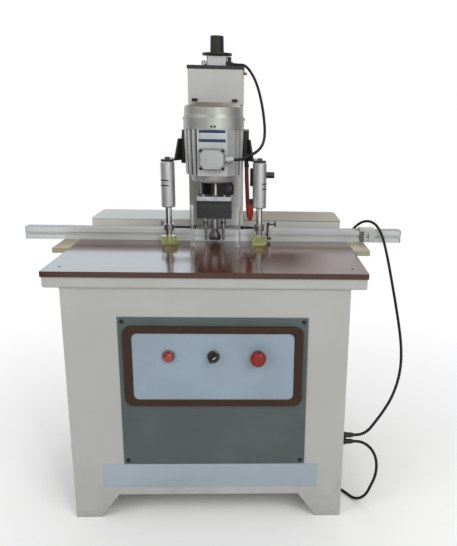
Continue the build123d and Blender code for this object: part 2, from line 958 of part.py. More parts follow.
with BuildPart() as feed_cylinder:
    bar(
        -feed_block_width / 2, feed_block_width / 2,
        feed_y - feed_block_depth / 2, feed_y + feed_block_depth / 2, plate_top, block_top,
    )
    chamfer(feed_cylinder.edges().filter_by(Axis.Z), free_gap)
    post(0, feed_y, barrel_bottom, plate_top, feed_barrel)
    post(0, feed_y, barrel_bottom + feed_head, column_top, feed_bore, mode=Mode.SUBTRACT)
    post(0, feed_y, barrel_bottom, block_top, feed_rod_radius + fit, mode=Mode.SUBTRACT)
feed_cylinder.part.label = "feed_cylinder"
export_step(feed_cylinder.part, "parts/feed_cylinder.step")

# Slide plate with the lug that the feed rod is bolted to
with BuildPart() as slide_plate:
    bar(-slide_width / 2, slide_width / 2, slide_front_y, slide_back_y, slide_bottom, slide_top)
    chamfer(slide_plate.faces().sort_by(Axis.Y)[0].edges(), slide_thickness / 6)
    bar(
        -feed_lug_width / 2, feed_lug_width / 2, slide_back_y, feed_y + feed_lug_width / 2,
        lug_bottom, lug_top,
    )
    post(0, feed_y, lug_bottom, lug_top, feed_rod_radius + fit, mode=Mode.SUBTRACT)
slide_plate.part.label = "slide_plate"
export_step(slide_plate.part, "parts/slide_plate.step")

with BuildPart() as guide_carriages:
    for side in (-1, 1):
        for step in (0, 1):
            rail_x = side * rail_spacing / 2
            carriage_z = slide_bottom + carriage_lift + step * carriage_pitch
            low = carriage_z - carriage_length / 2
            high = carriage_z + carriage_length / 2
            bar(
                rail_x - carriage_width / 2, rail_x + carriage_width / 2,
                slide_back_y, slide_back_y + carriage_grip, low, high,
            )
            bar(
                rail_x - rail_width / 2 - seat_gap, rail_x + rail_width / 2 + seat_gap,
                column_front_y - rail_height - seat_gap, slide_back_y + carriage_grip,
                low, high, mode=Mode.SUBTRACT,
            )
guide_carriages.part.label = "guide_carriages"
export_step(guide_carriages.part, "parts/guide_carriages.step")

# Feed rod: a nut under the lug, a shoulder on it, the piston, and the upper end for the knob
knob_bottom = block_top + seat_gap
knob_base = knob_bottom + knob_boss_height + knob_disc_thickness
knob_top = knob_base + knob_height
feed_rod_top = knob_top - knob_base_radius
piston_bottom = barrel_bottom + feed_head + free_gap
with BuildPart() as feed_rod:
    turned(
        0, feed_y,
        (0, lug_bottom - feed_nut_height), (feed_nut_radius, lug_bottom - feed_nut_height),
        (feed_nut_radius, lug_bottom), (feed_rod_radius, lug_bottom), (feed_rod_radius, lug_top),
        (feed_nut_radius, lug_top), (feed_nut_radius, lug_top + feed_nut_height),
        (feed_rod_radius, lug_top + feed_nut_height), (feed_rod_radius, piston_bottom),
        (feed_bore - fit, piston_bottom), (feed_bore - fit, piston_bottom + feed_piston),
        (feed_rod_radius, piston_bottom + feed_piston), (feed_rod_radius, feed_rod_top),
        (0, feed_rod_top),
    )
feed_rod.part.label = "feed_rod"
export_step(feed_rod.part, "parts/feed_rod.step")

with BuildPart() as depth_knob:
    turned(
        0, feed_y,
        (feed_rod_radius + fit, knob_bottom), (knob_boss_radius, knob_bottom),
        (knob_boss_radius, knob_bottom + knob_boss_height),
        (knob_disc_radius, knob_bottom + knob_boss_height), (knob_disc_radius, knob_base),
        (knob_base_radius, knob_base), (knob_top_radius, knob_top), (0, knob_top),
        (0, feed_rod_top + seat_gap), (feed_rod_radius + fit, feed_rod_top + seat_gap),
    )
    fillet(depth_knob.faces().sort_by(Axis.Z)[-1].edges(), knob_top_radius / 8)
depth_knob.part.label = "depth_knob"
export_step(depth_knob.part, "parts/depth_knob.step")


# An involute spur gear outline around (x, y), with one tooth pointing at the phase angle
def gear_outline(x, y, phase):
    pressure = radians(20)
    pitch_radius = gear_module * gear_teeth / 2
    base_radius = pitch_radius * cos(pressure)
    tip_radius = pitch_radius + gear_module
    root_radius = pitch_radius - 1.25 * gear_module
    middle_radius = (base_radius + tip_radius) / 2
    half_tooth = pi / (2 * gear_teeth) - gear_backlash / (2 * pitch_radius)

    def half_angle(radius):
        slant = acos(base_radius / radius)
        return half_tooth + tan(pressure) - pressure - tan(slant) + slant

    def at(radius, angle):
        return (x + radius * cos(angle), y + radius * sin(angle))

    base_half = half_angle(base_radius)
    tip_half = half_angle(tip_radius)
    with BuildLine() as edge:
        for tooth in range(gear_teeth):
            middle = radians(phase) + tooth * 2 * pi / gear_teeth
            following = middle + 2 * pi / gear_teeth
            Line(at(root_radius, middle - base_half), at(base_radius, middle - base_half))
            ThreePointArc(
                at(base_radius, middle - base_half),
                at(middle_radius, middle - half_angle(middle_radius)),
                at(tip_radius, middle - tip_half),
            )
            ThreePointArc(
                at(tip_radius, middle - tip_half), at(tip_radius, middle), at(tip_radius, middle + tip_half),
            )
            ThreePointArc(
                at(tip_radius, middle + tip_half),
                at(middle_radius, middle + half_angle(middle_radius)),
                at(base_radius, middle + base_half),
            )
            Line(at(base_radius, middle + base_half), at(root_radius, middle + base_half))
            ThreePointArc(
                at(root_radius, middle + base_half),
                at(root_radius, (middle + following) / 2),
                at(root_radius, following - base_half),
            )
    make_face(edge.edges())


# The phase of a side gear whose tooth space faces the centre gear's tooth
def meshed_phase(direction):
    tooth_pitch = 360 / gear_teeth
    lag = direction % tooth_pitch
    return direction + 180 + lag + tooth_pitch / 2


# A spindle: socket, neck through its two bearings, and gear
def spindle(x, y, socket_radius, shank_radius, phase):
    turned(
        x, y,
        (0, socket_bottom), (socket_radius, socket_bottom), (socket_radius, socket_top),
        (spindle_neck, socket_top), (spindle_neck, spindle_top), (0, spindle_top),
    )
    with BuildSketch(Plane.XY.offset(gear_bottom)) as teeth:
        gear_outline(x, y, phase)
    extrude(teeth.sketch, amount=gear_width)
    post(x, y, socket_bottom, socket_bottom + socket_depth, shank_radius + fit, mode=Mode.SUBTRACT)


right_direction = Vector(1, 0).get_signed_angle(Vector(side_spindle_x, -pattern_offset), Vector(0, 0, 1))
left_direction = 180 - right_direction
with BuildPart() as centre_spindle:
    spindle(0, spindle_y, centre_socket, bit_shank, 0)
    post(0, spindle_y, spindle_top, stub_top, stub_radius)
centre_spindle.part.label = "centre_spindle"
export_step(centre_spindle.part, "parts/centre_spindle.step")

with BuildPart() as left_spindle:
    spindle(-side_spindle_x, side_spindle_y, side_socket, side_bit, meshed_phase(left_direction))
left_spindle.part.label = "left_spindle"
export_step(left_spindle.part, "parts/left_spindle.step")

with BuildPart() as right_spindle:
    spindle(side_spindle_x, side_spindle_y, side_socket, side_bit, meshed_phase(right_direction))
right_spindle.part.label = "right_spindle"
export_step(right_spindle.part, "parts/right_spindle.step")

# Cup bit: shank, flared neck and a rim with a centre point and two gullets
cup_bottom = tip_z + cup_point
cup_top = cup_bottom + cup_height
shank_top = socket_bottom + socket_depth - seat_gap
with BuildPart() as cup_bit:
    turned(
        0, spindle_y,
        (0, tip_z), (cup_point, cup_bottom), (cup_radius, cup_bottom), (cup_radius, cup_top),
        (centre_socket * 0.7, socket_bottom), (bit_shank, socket_bottom), (bit_shank, shank_top),
        (0, shank_top),
    )
    for side in (-1, 1):
        bar(
            *sorted([side * cup_radius / 2, side * cup_radius]),
            spindle_y - cup_point, spindle_y + cup_point, cup_bottom, cup_top, mode=Mode.SUBTRACT,
        )
cup_bit.part.label = "cup_bit"
export_step(cup_bit.part, "parts/cup_bit.step")


def dowel_bit(x):
    turned(
        x, side_spindle_y,
        (0, tip_z), (side_bit, tip_z + side_bit), (side_bit, shank_top), (0, shank_top),
    )


with BuildPart() as left_bit:
    dowel_bit(-side_spindle_x)
left_bit.part.label = "left_bit"
export_step(left_bit.part, "parts/left_bit.step")

with BuildPart() as right_bit:
    dowel_bit(side_spindle_x)
right_bit.part.label = "right_bit"
export_step(right_bit.part, "parts/right_bit.step")

# Gearbox: an open case with bearing pockets in its floor, under a cover with a neck
spindle_places = [(-side_spindle_x, side_spindle_y), (0, spindle_y), (side_spindle_x, side_spindle_y)]
floor_top = case_bottom + case_floor
with BuildPart() as gearbox_case:
    bar(-case_width / 2, case_width / 2, case_front_y, case_back_y, case_bottom, case_top)
    fillet(gearbox_case.edges().filter_by(Axis.Z), case_corner)
    bar(
        case_wall - case_width / 2, case_width / 2 - case_wall,
        case_front_y + case_wall, case_back_y - case_wall, floor_top, case_top, mode=Mode.SUBTRACT,
    )
    for x, y in spindle_places:
        post(x, y, floor_top - bearing_width, floor_top, bearing_radius + fit, mode=Mode.SUBTRACT)
        post(x, y, case_bottom, floor_top, spindle_neck + spindle_relief, mode=Mode.SUBTRACT)
gearbox_case.part.label = "gearbox_case"
export_step(gearbox_case.part, "parts/gearbox_case.step")

with BuildPart() as gearbox_cover:
    bar(-case_width / 2, case_width / 2, case_front_y, case_back_y, case_top, cover_top)
    fillet(gearbox_cover.edges().filter_by(Axis.Z), case_corner)
    chamfer(gearbox_cover.faces().sort_by(Axis.Z)[-1].edges(), cover_chamfer)
    post(0, spindle_y, cover_top, neck_top, neck_radius)
    post(0, spindle_y, cover_top, neck_top, neck_radius - neck_wall, mode=Mode.SUBTRACT)
    for x, y in spindle_places:
        post(x, y, case_top, case_top + bearing_width, bearing_radius + fit, mode=Mode.SUBTRACT)
    post(0, spindle_y, case_top, cover_top, spindle_neck + spindle_relief, mode=Mode.SUBTRACT)
gearbox_cover.part.label = "gearbox_cover"
export_step(gearbox_cover.part, "parts/gearbox_cover.step")

# Split collar: it clamps the gearbox neck and the motor's nose, and a web ties it to the slide
collar_front_lug = spindle_y - collar_lug_front
split_y = collar_front_lug + collar_lug_depth / 2
collar_bolt_x = collar_lug_reach - collar_bolt_inset
collar_middle = (collar_bottom + collar_top) / 2
bolt_seat_y = collar_front_lug + collar_bolt_seat
with BuildPart() as collar_clamp:
    post(0, spindle_y, collar_bottom, collar_top, collar_radius)
    bar(0, collar_lug_reach, collar_front_lug, collar_front_lug + collar_lug_depth, collar_bottom, collar_top)
    fillet(
        collar_clamp.edges().filter_by(Axis.Y).group_by(Axis.X)[-1],
        collar_height / 4,
    )
    bar(-collar_web / 2, collar_web / 2, spindle_y, slide_front_y, collar_bottom, collar_top)
    post(0, spindle_y, collar_bottom, collar_top, neck_radius + fit, mode=Mode.SUBTRACT)
    bar(
        neck_radius / 2, collar_lug_reach, split_y - collar_split / 2, split_y + collar_split / 2,
        collar_bottom, collar_top, mode=Mode.SUBTRACT,
    )
    rod_along_y(
        collar_bolt_x, collar_front_lug, collar_front_lug + collar_lug_depth,
        collar_middle, collar_bolt + seat_gap, mode=Mode.SUBTRACT,
    )
    rod_along_y(
        collar_bolt_x, collar_front_lug, bolt_seat_y, collar_middle,
        collar_bolt_head + seat_gap, mode=Mode.SUBTRACT,
    )
    rod_along_y(
        collar_bolt_x, collar_front_lug - seat_gap, bolt_seat_y - seat_gap, collar_middle,
        collar_bolt_head,
    )
    rod_along_y(
        collar_bolt_x, bolt_seat_y - seat_gap, collar_front_lug + collar_lug_depth,
        collar_middle, collar_bolt,
    )
    with BuildSketch(upright(collar_front_lug - seat_gap)):
        with Locations((collar_bolt_x, collar_middle)):
            RegularPolygon(collar_bolt, 6)
    extrude(amount=-collar_bolt, mode=Mode.SUBTRACT)
collar_clamp.part.label = "collar_clamp"
export_step(collar_clamp.part, "parts/collar_clamp.step")

# Motor: lower end shield with its nose in the collar
nose_bottom = neck_top + free_gap
shield_floor = collar_top + shield_height / 4
pocket_top = shield_floor + bearing_width
with BuildPart() as motor_shield:
    turned(
        0, spindle_y,
        (shaft_radius + spindle_relief, nose_bottom), (neck_radius, nose_bottom),
        (neck_radius, collar_top), (shield_radius * 0.87, collar_top),
        (shield_radius * 0.94, collar_top + shield_height * 0.12),
        (shield_radius * 0.98, collar_top + shield_height * 0.4),
        (shield_radius, shield_top - shield_height / 4), (shield_radius, shield_top),
        (motor_bore, shield_top), (motor_bore - free_gap, pocket_top),
        (motor_bearing + fit, pocket_top), (motor_bearing + fit, shield_floor),
        (shaft_radius + spindle_relief, shield_floor),
    )
motor_shield.part.label = "motor_shield"
export_step(motor_shield.part, "parts/motor_shield.step")

# Finned frame with its front pad, a plain facet beside it, rear feet, stator and upper end plate
facet_x = fin_radius * sin(radians(facet_angle))
facet_y = -fin_radius * cos(radians(facet_angle))
with BuildPart() as motor_frame:
    post(0, spindle_y, shield_top, motor_top, motor_core)
    with BuildSketch(Plane(origin=(0, spindle_y, shield_top))):
        with PolarLocations((motor_core - free_gap + fin_radius) / 2, fin_count, fin_start):
            Rectangle(fin_radius - motor_core + free_gap, fin_thickness)
    extrude(amount=motor_length)
    turned(
        0, spindle_y,
        (fin_radius - fin_taper, shield_top), (fin_radius + free_gap, shield_top),
        (fin_radius + free_gap, shield_top + fin_taper_height),
        (fin_radius, shield_top + fin_taper_height),
        mode=Mode.SUBTRACT,
    )
    bar(
        -pad_width / 2, pad_width / 2, spindle_y - fin_radius - free_gap, pad_front_y, shield_top, motor_top,
        mode=Mode.SUBTRACT,
    )
    with BuildSketch(Plane(origin=(0, spindle_y, shield_top))):
        with BuildLine():
            Polyline(
                (-pad_width / 2, 0), (-pad_width / 2, -pad_front), (pad_width / 2, -pad_front),
                (facet_x, facet_y), (facet_x, 0), close=True,
            )
        make_face()
    extrude(amount=motor_length)
    for side in (-1, 1):
        foot_x = side * foot_spacing / 2
        bar(
            foot_x - motor_foot_width / 2, foot_x + motor_foot_width / 2, spindle_y + motor_bore / 2,
            slide_front_y, shield_top + motor_foot_margin, motor_top - motor_foot_margin,
        )
    post(0, spindle_y, motor_top, motor_top + end_plate, cowl_radius - cowl_sheet - fit)
    post(0, spindle_y, shield_top, motor_top, motor_bore, mode=Mode.SUBTRACT)
    post(0, spindle_y, stator_bottom, stator_top, motor_bore)
    post(0, spindle_y, stator_bottom, stator_top, stator_bore, mode=Mode.SUBTRACT)
    post(0, spindle_y, motor_top, motor_top + end_plate, end_bearing + fit, mode=Mode.SUBTRACT)
motor_frame.part.label = "motor_frame"
export_step(motor_frame.part, "parts/motor_frame.step")

with BuildPart() as bearings:
    for x, y in spindle_places:
        for low in (floor_top - bearing_width, case_top):
            post(x, y, low, low + bearing_width, bearing_radius)
            post(x, y, low, low + bearing_width, spindle_neck + fit, mode=Mode.SUBTRACT)
    post(0, spindle_y, shield_floor, pocket_top, motor_bearing)
    post(0, spindle_y, shield_floor, pocket_top, shaft_radius + fit, mode=Mode.SUBTRACT)
    post(0, spindle_y, motor_top, motor_top + end_plate, end_bearing)
    post(0, spindle_y, motor_top, motor_top + end_plate, shaft_radius + fit, mode=Mode.SUBTRACT)
bearings.part.label = "bearings"
export_step(bearings.part, "parts/bearings.step")

# Rotor: shaft with a bore for the spindle's stub, core and fan
fan_bottom = motor_top + end_plate + fan_lift
fan_top = fan_bottom + fan_width
bore_end = shaft_bottom + stub_length + seat_gap
with BuildPart() as rotor:
    turned(
        0, spindle_y,
        (stub_radius + fit, shaft_bottom), (shaft_radius, shaft_bottom), (shaft_radius, stator_bottom),
        (stator_bore - air_gap, stator_bottom), (stator_bore - air_gap, stator_top),
        (shaft_radius, stator_top), (shaft_radius, fan_bottom), (fan_hub, fan_bottom),
        (fan_hub, fan_top), (0, fan_top), (0, bore_end), (stub_radius + fit, bore_end),
    )
    with Locations((0, spindle_y, (fan_bottom + fan_top) / 2)):
        with PolarLocations((fan_hub + fan_radius) / 2, fan_blades):
            Box(fan_radius - fan_hub + fan_blade, fan_blade, fan_width)
rotor.part.label = "rotor"
export_step(rotor.part, "parts/rotor.step")

# Fan cowl in two tiers with a sloping shoulder and a vented crown
with BuildPart() as fan_cowl:
    step_z = motor_top + cowl_lower_height
    upper_radius = cowl_radius - cowl_step
    turned(
        0, spindle_y,
        (0, motor_top), (cowl_radius, motor_top), (cowl_radius, step_z), (upper_radius, step_z + cowl_slope),
        (upper_radius, cowl_top - cowl_rise), (cowl_crown, cowl_top), (0, cowl_top),
    )
    fillet(fan_cowl.edges().filter_by(GeomType.CIRCLE).group_by(Axis.Z)[-2], cowl_round)
    turned(
        0, spindle_y,
        (0, motor_top), (cowl_radius - cowl_sheet, motor_top),
        (cowl_radius - cowl_sheet, step_z), (upper_radius - cowl_sheet, step_z + cowl_slope),
        (upper_radius - cowl_sheet, cowl_top - cowl_rise - cowl_sheet),
        (cowl_crown - cowl_sheet, cowl_top - cowl_sheet), (0, cowl_top - cowl_sheet),
        mode=Mode.SUBTRACT,
    )
    for ring in vent_rings:
        with Locations((0, spindle_y, cowl_top)):
            with PolarLocations(ring, ring // 2):
                Hole(vent_radius, depth=2 * cowl_sheet)
fan_cowl.part.label = "fan_cowl"
export_step(fan_cowl.part, "parts/fan_cowl.step")

# Terminal box: box, lid with cut corners, and the gland on its right
with BuildPart() as terminal_box:
    bar(-box_width / 2, box_width / 2, box_front_y, pad_front_y, box_bottom, box_bottom + box_height)
    fillet(terminal_box.edges().filter_by(Axis.Y), box_corner)
    with BuildSketch(upright(box_front_y - seat_gap)) as lid:
        with Locations((0, box_middle)):
            Rectangle(box_width - 2 * lid_margin, box_height - 2 * lid_margin)
        chamfer(lid.vertices(), lid_corner)
    extrude(amount=lid_thickness)
    turned_along_x(
        box_width / 2 + seat_gap, (box_front_y + pad_front_y) / 2, box_middle,
        (0, 0), (0, box_gland_radius), (box_gland_length * 0.6, box_gland_radius),
        (box_gland_length, box_gland_tip), (box_gland_length, 0),
    )
terminal_box.part.label = "terminal_box"
export_step(terminal_box.part, "parts/terminal_box.step")

# Arms: plates beside the column, each with a slanting lug and a web for a hold-down cylinder
shoulder_z = cylinder_top + arm_shoulder
arm_top = cylinder_top + arm_rise
arm_top_y = arm_front_y + arm_top_run
arm_pad_y = column_front_y + arm_pad_margin
arm_back_y = arm_pad_y + arm_pad_length
arm_low_y = arm_front_y + arm_low_step
web_y = arm_front_y + free_gap
web_across = clamp_x - web_clear - arm_outer
web_forward = clamp_y + web_back - web_y
web_run = hypot(web_across, web_forward)
with BuildPart() as clamp_arms:
    for side in (-1, 1):
        with BuildSketch(facing_right(side * arm_inner)):
            with BuildLine():
                Polyline(
                    (arm_front_y, cylinder_top), (arm_low_y, cylinder_top), (arm_low_y, arm_bottom),
                    (arm_back_y, arm_bottom), (arm_back_y, arm_top), (arm_top_y, arm_top),
                    (arm_top_y - arm_thickness, shoulder_z), (arm_front_y, shoulder_z), close=True,
                )
            make_face()
        extrude(amount=side * arm_thickness)
        bar(
            *sorted([side * column_width / 2, side * arm_inner]), arm_pad_y, arm_back_y,
            arm_bottom, arm_top,
        )
        with BuildSketch(Plane.XY.offset(cylinder_top)):
            with BuildLine():
                Polyline(
                    (side * clamp_x, clamp_y - lug_radius), (side * clamp_x, clamp_y + lug_radius),
                    (side * arm_inner, arm_front_y + arm_lug_run), (side * arm_inner, arm_low_y),
                    close=True,
                )
            make_face()
        extrude(amount=lug_thickness)
        post(side * clamp_x, clamp_y, cylinder_top, lug_upper, lug_radius)
        web_plane = Plane(
            origin=(side * arm_outer, web_y, 0), x_dir=(side * web_across, web_forward, 0),
            z_dir=(web_forward, -side * web_across, 0),
        )
        with BuildSketch(web_plane):
            with BuildLine():
                Polyline(
                    (0, lug_upper), (web_run, lug_upper), (web_top, shoulder_z), (0, shoulder_z), close=True,
                )
            make_face()
        extrude(amount=side * web_thickness)
        post(side * clamp_x, clamp_y, cylinder_top, lug_upper, nose_radius + fit, mode=Mode.SUBTRACT)
clamp_arms.part.label = "clamp_arms"
export_step(clamp_arms.part, "parts/clamp_arms.step")

# Hold-down cylinders, hung from the arms by a threaded nose and a nut
rod_bottom = clamp_foot_bottom + foot_base
clamp_piston_bottom = cylinder_bottom + clamp_piston_lift
with BuildPart() as clamp_cylinders:
    for side in (-1, 1):
        turned(
            side * clamp_x, clamp_y,
            (clamp_rod + fit, cylinder_bottom), (cylinder_radius - cylinder_chamfer, cylinder_bottom),
            (cylinder_radius, cylinder_bottom + cylinder_chamfer),
            (cylinder_radius, cylinder_top - cylinder_chamfer),
            (cylinder_radius - cylinder_chamfer, cylinder_top), (nose_radius, cylinder_top),
            (nose_radius, cylinder_top + nose_length), (0, cylinder_top + nose_length),
            (0, cylinder_top - cylinder_end), (cylinder_bore, cylinder_top - cylinder_end),
            (cylinder_bore, cylinder_bottom + cylinder_end),
            (clamp_rod + fit, cylinder_bottom + cylinder_end),
        )
clamp_cylinders.part.label = "clamp_cylinders"
export_step(clamp_cylinders.part, "parts/clamp_cylinders.step")

with BuildPart() as clamp_nuts:
    with BuildSketch(Plane.XY.offset(lug_upper)):
        with Locations((-clamp_x, clamp_y), (clamp_x, clamp_y)):
            RegularPolygon(nut_flats / 2, 6, major_radius=False)
            Circle(nose_radius + fit, mode=Mode.SUBTRACT)
    extrude(amount=nut_height)
clamp_nuts.part.label = "clamp_nuts"
export_step(clamp_nuts.part, "parts/clamp_nuts.step")

with BuildPart() as clamp_rods:
    for side in (-1, 1):
        turned(
            side * clamp_x, clamp_y,
            (0, rod_bottom), (clamp_rod, rod_bottom), (clamp_rod, clamp_piston_bottom),
            (cylinder_bore - fit, clamp_piston_bottom),
            (cylinder_bore - fit, clamp_piston_bottom + clamp_piston),
            (0, clamp_piston_bottom + clamp_piston),
        )
clamp_rods.part.label = "clamp_rods"
export_step(clamp_rods.part, "parts/clamp_rods.step")

with BuildPart() as clamp_feet:
    for side in (-1, 1):
        turned(
            side * clamp_x, clamp_y,
            (0, clamp_foot_bottom), (foot_base_radius, clamp_foot_bottom),
            (foot_top_radius, clamp_foot_top), (clamp_rod + fit, clamp_foot_top),
            (clamp_rod + fit, rod_bottom), (0, rod_bottom),
        )
clamp_feet.part.label = "clamp_feet"
export_step(clamp_feet.part, "parts/clamp_feet.step")

# Collars on the rods, each with a cross rod and two nuts that hold the guard
guard_half = guard_width / 2
with BuildPart() as guard_arms:
    for side in (-1, 1):
        post(
            side * clamp_x, clamp_y, arm_collar_bottom, arm_collar_bottom + arm_collar_height,
            arm_collar_radius,
        )
        inner_end = guard_offset + side * (guard_half - guard_sheet - cross_nut_width)
        rod_along_x(inner_end, side * clamp_x, clamp_y, cross_rod_z, cross_rod)
        for nut_start in (guard_half, guard_half - guard_sheet - cross_nut_width):
            nut_x = guard_offset + side * nut_start
            rod_along_x(nut_x, nut_x + side * cross_nut_width, clamp_y, cross_rod_z, cross_nut)
        post(
            side * clamp_x, clamp_y, arm_collar_bottom, arm_collar_bottom + arm_collar_height,
            clamp_rod + fit, mode=Mode.SUBTRACT,
        )
guard_arms.part.label = "guard_arms"
export_step(guard_arms.part, "parts/guard_arms.step")

# Guard: a clear sheet bent to a U around the bits, open at the back
guard_length = guard_back_y - guard_front_y
with BuildPart() as guard:
    with BuildSketch(Plane.XY.offset(guard_bottom)):
        with Locations((guard_offset, guard_back_y)):
            RectangleRounded(guard_width, 2 * guard_length, guard_bend)
            RectangleRounded(
                guard_width - 2 * guard_sheet, 2 * (guard_length - guard_sheet), guard_bend - guard_sheet,
                mode=Mode.SUBTRACT,
            )
        with Locations((guard_offset, guard_back_y + guard_length / 2)):
            Rectangle(guard_width, guard_length, mode=Mode.SUBTRACT)
    extrude(amount=guard_height)
    rod_along_x(
        guard_offset - guard_half, guard_offset + guard_half, clamp_y, cross_rod_z, cross_rod + fit,
        mode=Mode.SUBTRACT,
    )
guard.part.label = "guard"
export_step(guard.part, "parts/guard.step")


# A cable gland on the cabinet's right side: locknut, thread, nut, body and taper
def side_gland(z):
    turned_along_x(
        cabinet_width / 2, gland_y, z,
        (-cabinet_sheet - gland_inside, 0), (-cabinet_sheet - gland_inside, gland_radius),
        (-cabinet_sheet, gland_radius), (-cabinet_sheet, gland_thread), (0, gland_thread),
        (0, gland_radius), (gland_nut, gland_radius), (gland_nut, gland_neck),
        (gland_nut + gland_body, gland_neck), (gland_length, gland_tip), (gland_length, 0),
    )


# Cable glands: two on the cabinet's side, an elbow on the deck's end and one on the top plate
gland_length = gland_nut + gland_body + gland_taper
elbow_x = deck_width / 2 + elbow_reach
elbow_end_y = deck_gland_y - elbow_length
top_gland_y = feed_y - top_gland_setback
top_gland_z = plate_top + top_gland_lift
top_gland_end = top_gland_place + top_gland_block + top_gland_nut
with BuildPart() as cable_glands:
    for height in gland_heights:
        side_gland(height)
    deck_inside = deck_width / 2 - deck_sheet
    rod_along_x(deck_inside - gland_inside, deck_inside, deck_gland_y, deck_gland_z, gland_radius)
    rod_along_x(deck_inside, elbow_x, deck_gland_y, deck_gland_z, gland_thread)
    rod_along_x(deck_width / 2, elbow_x, deck_gland_y, deck_gland_z, gland_neck)
    rod_along_y(elbow_x, elbow_end_y, deck_gland_y + gland_neck, deck_gland_z, gland_neck)
    bar(
        top_gland_place, top_gland_place + top_gland_block,
        top_gland_y - top_gland_width / 2, top_gland_y + top_gland_width / 2,
        plate_top, top_gland_z + top_gland_width / 2,
    )
    rod_along_x(top_gland_place + top_gland_block, top_gland_end, top_gland_y, top_gland_z, gland_neck)
cable_glands.part.label = "cable_glands"
export_step(cable_glands.part, "parts/cable_glands.step")

# Air fittings: feed cylinder elbow and throttle, hold-down ports and regulator, hose ends, nipple
# and inlet
hose_y = table_front + hose_setback
port_z = cylinder_bottom + port_lift
port_y = clamp_y + cylinder_radius * 0.65
port_x = clamp_x - cylinder_radius - port_reach
regulator_x = clamp_x - cylinder_radius - regulator_reach
regulator_top = cylinder_top - regulator_drop
feed_port_z = plate_top + feed_block_height / 3
with BuildPart() as air_fittings:
    elbow_top = plate_top + feed_elbow_height
    for side, reach, top in ((-1, 2 * fitting_radius, elbow_top), (1, 1.2 * fitting_radius, block_top)):
        block_side = side * feed_block_width / 2
        rod_along_x(block_side, block_side + side * reach, feed_y, feed_port_z, fitting_radius)
        post(block_side + side * reach, feed_y, plate_top + fitting_radius / 2, top, fitting_radius)
    for side in (-1, 1):
        post(
            side * (clamp_x - top_port_gap), clamp_y, lug_upper, lug_upper + nut_height,
            top_port_radius,
        )
    rod_along_x(
        clamp_x + cylinder_radius - cylinder_chamfer, clamp_x + cylinder_radius + throttle_length,
        clamp_y, cylinder_bottom + throttle_lift, throttle_radius,
    )
    post(
        hose_place, hose_y, arm_bottom - hose_fitting_length, arm_bottom, hose_fitting_radius,
    )
    rod_along_x(port_x, clamp_x, port_y, port_z, port_radius)
    post(port_x, port_y, port_z - hose_fitting_length, port_z + port_radius, fitting_radius)
    rod_along_x(regulator_x, clamp_x, port_y, regulator_top - regulator_length / 2, regulator_radius / 2)
    post(regulator_x, port_y, regulator_top - regulator_length, regulator_top, regulator_radius)
    for side in (-1, 1):
        post(
            side * clamp_x, clamp_y, cylinder_bottom, cylinder_top, cylinder_radius + fit,
            mode=Mode.SUBTRACT,
        )
    rod_along_x(
        hood_half, hood_half + nipple_length, hood_front_y + nipple_length,
        column_top - nipple_length, nipple_radius,
    )
    rod_along_y(inlet_place, cabinet_back_y, cabinet_back_y + inlet_reach, inlet_height, inlet_radius)
    rod_along_y(
        inlet_place, cabinet_back_y - cabinet_sheet - gland_inside, cabinet_back_y, inlet_height,
        gland_thread,
    )
    rod_along_y(
        inlet_place, cabinet_back_y - cabinet_sheet - gland_inside, cabinet_back_y - cabinet_sheet,
        inlet_height, inlet_radius,
    )
    rod_along_y(
        inlet_place, cabinet_back_y + inlet_reach - inlet_depth, cabinet_back_y + inlet_reach,
        inlet_height, inlet_bore, mode=Mode.SUBTRACT,
    )
air_fittings.part.label = "air_fittings"
export_step(air_fittings.part, "parts/air_fittings.step")


# A cord along a route of points, each given as place, setback from the table's front edge and
# height, with every corner rounded as far as its two runs allow
def cord(name, points, radius=cord_radius):
    corners = [Vector(x, table_front + setback, z) for x, setback, z in points]
    radii = []
    for before, corner, after in zip(corners, corners[1:], corners[2:]):
        turn = radians((corner - before).get_angle(after - corner))
        shorter = min((corner - before).length, (after - corner).length)
        radii.append(0.45 * shorter / tan(turn / 2))
    with BuildLine() as path:
        FilletPolyline(*corners, radius=radii)
    middle = path.wire()
    with BuildSketch(Plane(origin=middle @ 0, z_dir=middle % 0)) as section:
        Circle(radius)
    tube = sweep(section.sketch, path=middle)
    plain = pi * radius**2 * middle.length
    print(name, "length", round(middle.length), "volume ratio", round(tube.volume / plain, 4))
    print(name, "radii", [round(bend) for bend in radii])


box_gland_y = (box_front_y + pad_front_y) / 2 - table_front
box_gland_end = box_width / 2 + seat_gap + box_gland_length
top_exit = top_gland_y - table_front
with BuildPart() as motor_cable_upper:
    cord(
        "motor_cable_upper",
        [
            (top_gland_end, top_exit, top_gland_z), (58, top_exit, top_gland_z), (65, 525.5, 1203.8),
            (72, 524, 1204), (79.5, 521.5, 1203.6), (87, 518, 1200), (94.5, 513, 1193.5),
            (102, 507, 1184), (110, 500, 1171.5), (118, 491, 1155.5), (125.5, 478.5, 1135),
            (132.5, 461, 1109), (138.5, 439, 1080), (143, 414, 1047.5), (145.2, 388, 1018),
            (143.5, 360, 995), (137.5, 333, 979), (128, 311, 967.5), (116, 294, 960),
            (103, 282, 953.5), (89, 273, 946.5),
            (72, box_gland_y, box_middle), (box_gland_end, box_gland_y, box_middle),
        ],
    )
motor_cable_upper.part.label = "motor_cable_upper"
export_step(motor_cable_upper.part, "parts/motor_cable_upper.step")

